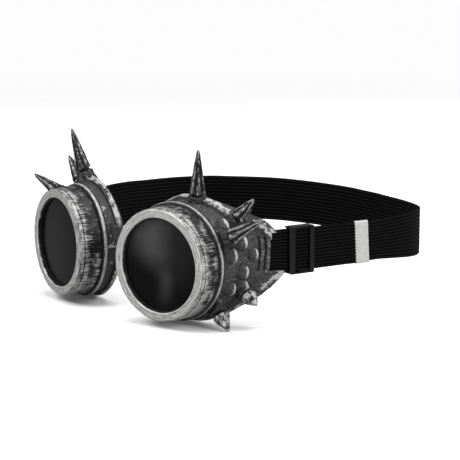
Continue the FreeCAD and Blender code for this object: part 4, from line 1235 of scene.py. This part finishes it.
for i, side in enumerate(("left", "right")):
    bezel(side, 3 + i * 4)
    lens(side, 1 + i)
    eye_cup(side, 2 + i * 5)
    for k, (name, foot, tip, r) in enumerate(SPIKES[side]):
        if name.startswith("short"):
            short_spike(side, name, foot, tip, r, 5 + k + i * 7)
        else:
            long_spike(side, name, foot, tip, r, 2 + k + i * 9)
bridge()
strap()
tag()
slider()

# ------------------------------------------------------------------------ set
lo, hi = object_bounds()
floor_z = lo.z - 0.0002


def floor():
    n, rings = 96, 40
    t = np.arange(n) / n * PI2
    v, f = [], []
    rr = np.concatenate([[0.05], np.geomspace(0.1, 6.0, rings - 1)])
    for r in rr:
        v += [(r * math.cos(a), r * math.sin(a), 0.0) for a in t]
    for k in range(rings - 1):
        for j in range(n):
            f.append((k * n + j, k * n + (j + 1) % n, (k + 1) * n + (j + 1) % n, (k + 1) * n + j))
    f.append(tuple(range(n)))
    me = bpy.data.meshes.new("floor")
    me.from_pydata(v, [], f)
    o = link("floor", me)
    o.location = (0, 0.05, floor_z)
    m = Mat("floor_pale")
    tc = m.node("ShaderNodeTexCoord")
    ln = m.node("ShaderNodeVectorMath", operation="LENGTH")
    m.put(ln.inputs[0], tc.outputs["Object"])
    path = m.node("ShaderNodeLightPath")
    m.set(Base_Color=m.grey(m.lerp(path.outputs["Is Camera Ray"], 0.42, 0.92)), Roughness=0.8)
    m.bsdf.inputs["Specular IOR Level"].default_value = 0.05
    m.set(Alpha=m.math("SUBTRACT", 1.0, m.step(0.35, 1.4, ln.outputs["Value"])))
    me.materials.append(m.mat)
    o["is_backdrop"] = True


floor()


def area(name, loc, target, size, power, shape="RECTANGLE", size_y=None):
    li = bpy.data.lights.new(name, "AREA")
    li.shape, li.size, li.energy = shape, size, power
    if size_y:
        li.size_y = size_y
    o = link(name, li)
    o.location = loc
    o.rotation_euler = (Vector(target) - Vector(loc)).to_track_quat("-Z", "Y").to_euler()
    return o


area("key", (-0.35, -0.9, 1.1), (0, 0, 0), 0.9, 17, size_y=0.7)
area("right_fill", (1.3, 0.15, 0.55), (0.02, 0, 0), 0.7, 13, size_y=0.9)
area("top", (0.1, 0.1, 1.5), (0, 0.02, 0), 1.2, 20, size_y=1.2)
area("low_front", (0.8, -0.75, 0.12), (0, 0, 0), 0.6, 4, size_y=0.25)
area("back_rim", (0.4, 1.3, 0.7), (0, 0.02, 0), 0.9, 9, size_y=0.5)

world = bpy.data.worlds.new("studio")
bpy.context.scene.world = world
world.use_nodes = True
wt = world.node_tree
wt.nodes.clear()
wo = wt.nodes.new("ShaderNodeOutputWorld")
lp = wt.nodes.new("ShaderNodeLightPath")
mix = wt.nodes.new("ShaderNodeMixShader")
bg_cam = wt.nodes.new("ShaderNodeBackground")
bg_env = wt.nodes.new("ShaderNodeBackground")
bg_cam.inputs[0].default_value = (1, 1, 1, 1)
bg_cam.inputs[1].default_value = 0.98
bg_env.inputs[0].default_value = (1, 1, 1, 1)
bg_env.inputs[1].default_value = 0.26
wt.links.new(lp.outputs["Is Camera Ray"], mix.inputs[0])
wt.links.new(bg_env.outputs[0], mix.inputs[1])
wt.links.new(bg_cam.outputs[0], mix.inputs[2])
wt.links.new(mix.outputs[0], wo.inputs[0])

scene = bpy.context.scene
scene.view_settings.view_transform = "Standard"
scene.view_settings.look = "None"

# ---------------------------------------------------------------------- camera
cam_data = bpy.data.cameras.new("camera")
cam = link("camera", cam_data)
az, el, dist = rad(50.96), rad(10.76), 0.85
back = Vector((math.sin(az) * math.cos(el), -math.cos(az) * math.cos(el), math.sin(el)))
right = Vector((math.cos(az), math.sin(az), 0.0))
cam.location = Vector((0.0, 0.004, 0.0)) + back * dist
look = -back + right * 0.0473 + back.cross(right) * 0.0092
cam.rotation_euler = look.to_track_quat("-Z", "Y").to_euler()
cam_data.sensor_width = 36.0
cam_data.lens = 36.0 * 1660.0 / 460.0
cam_data.clip_start = 0.02
cam_data.clip_end = 50
scene.camera = cam
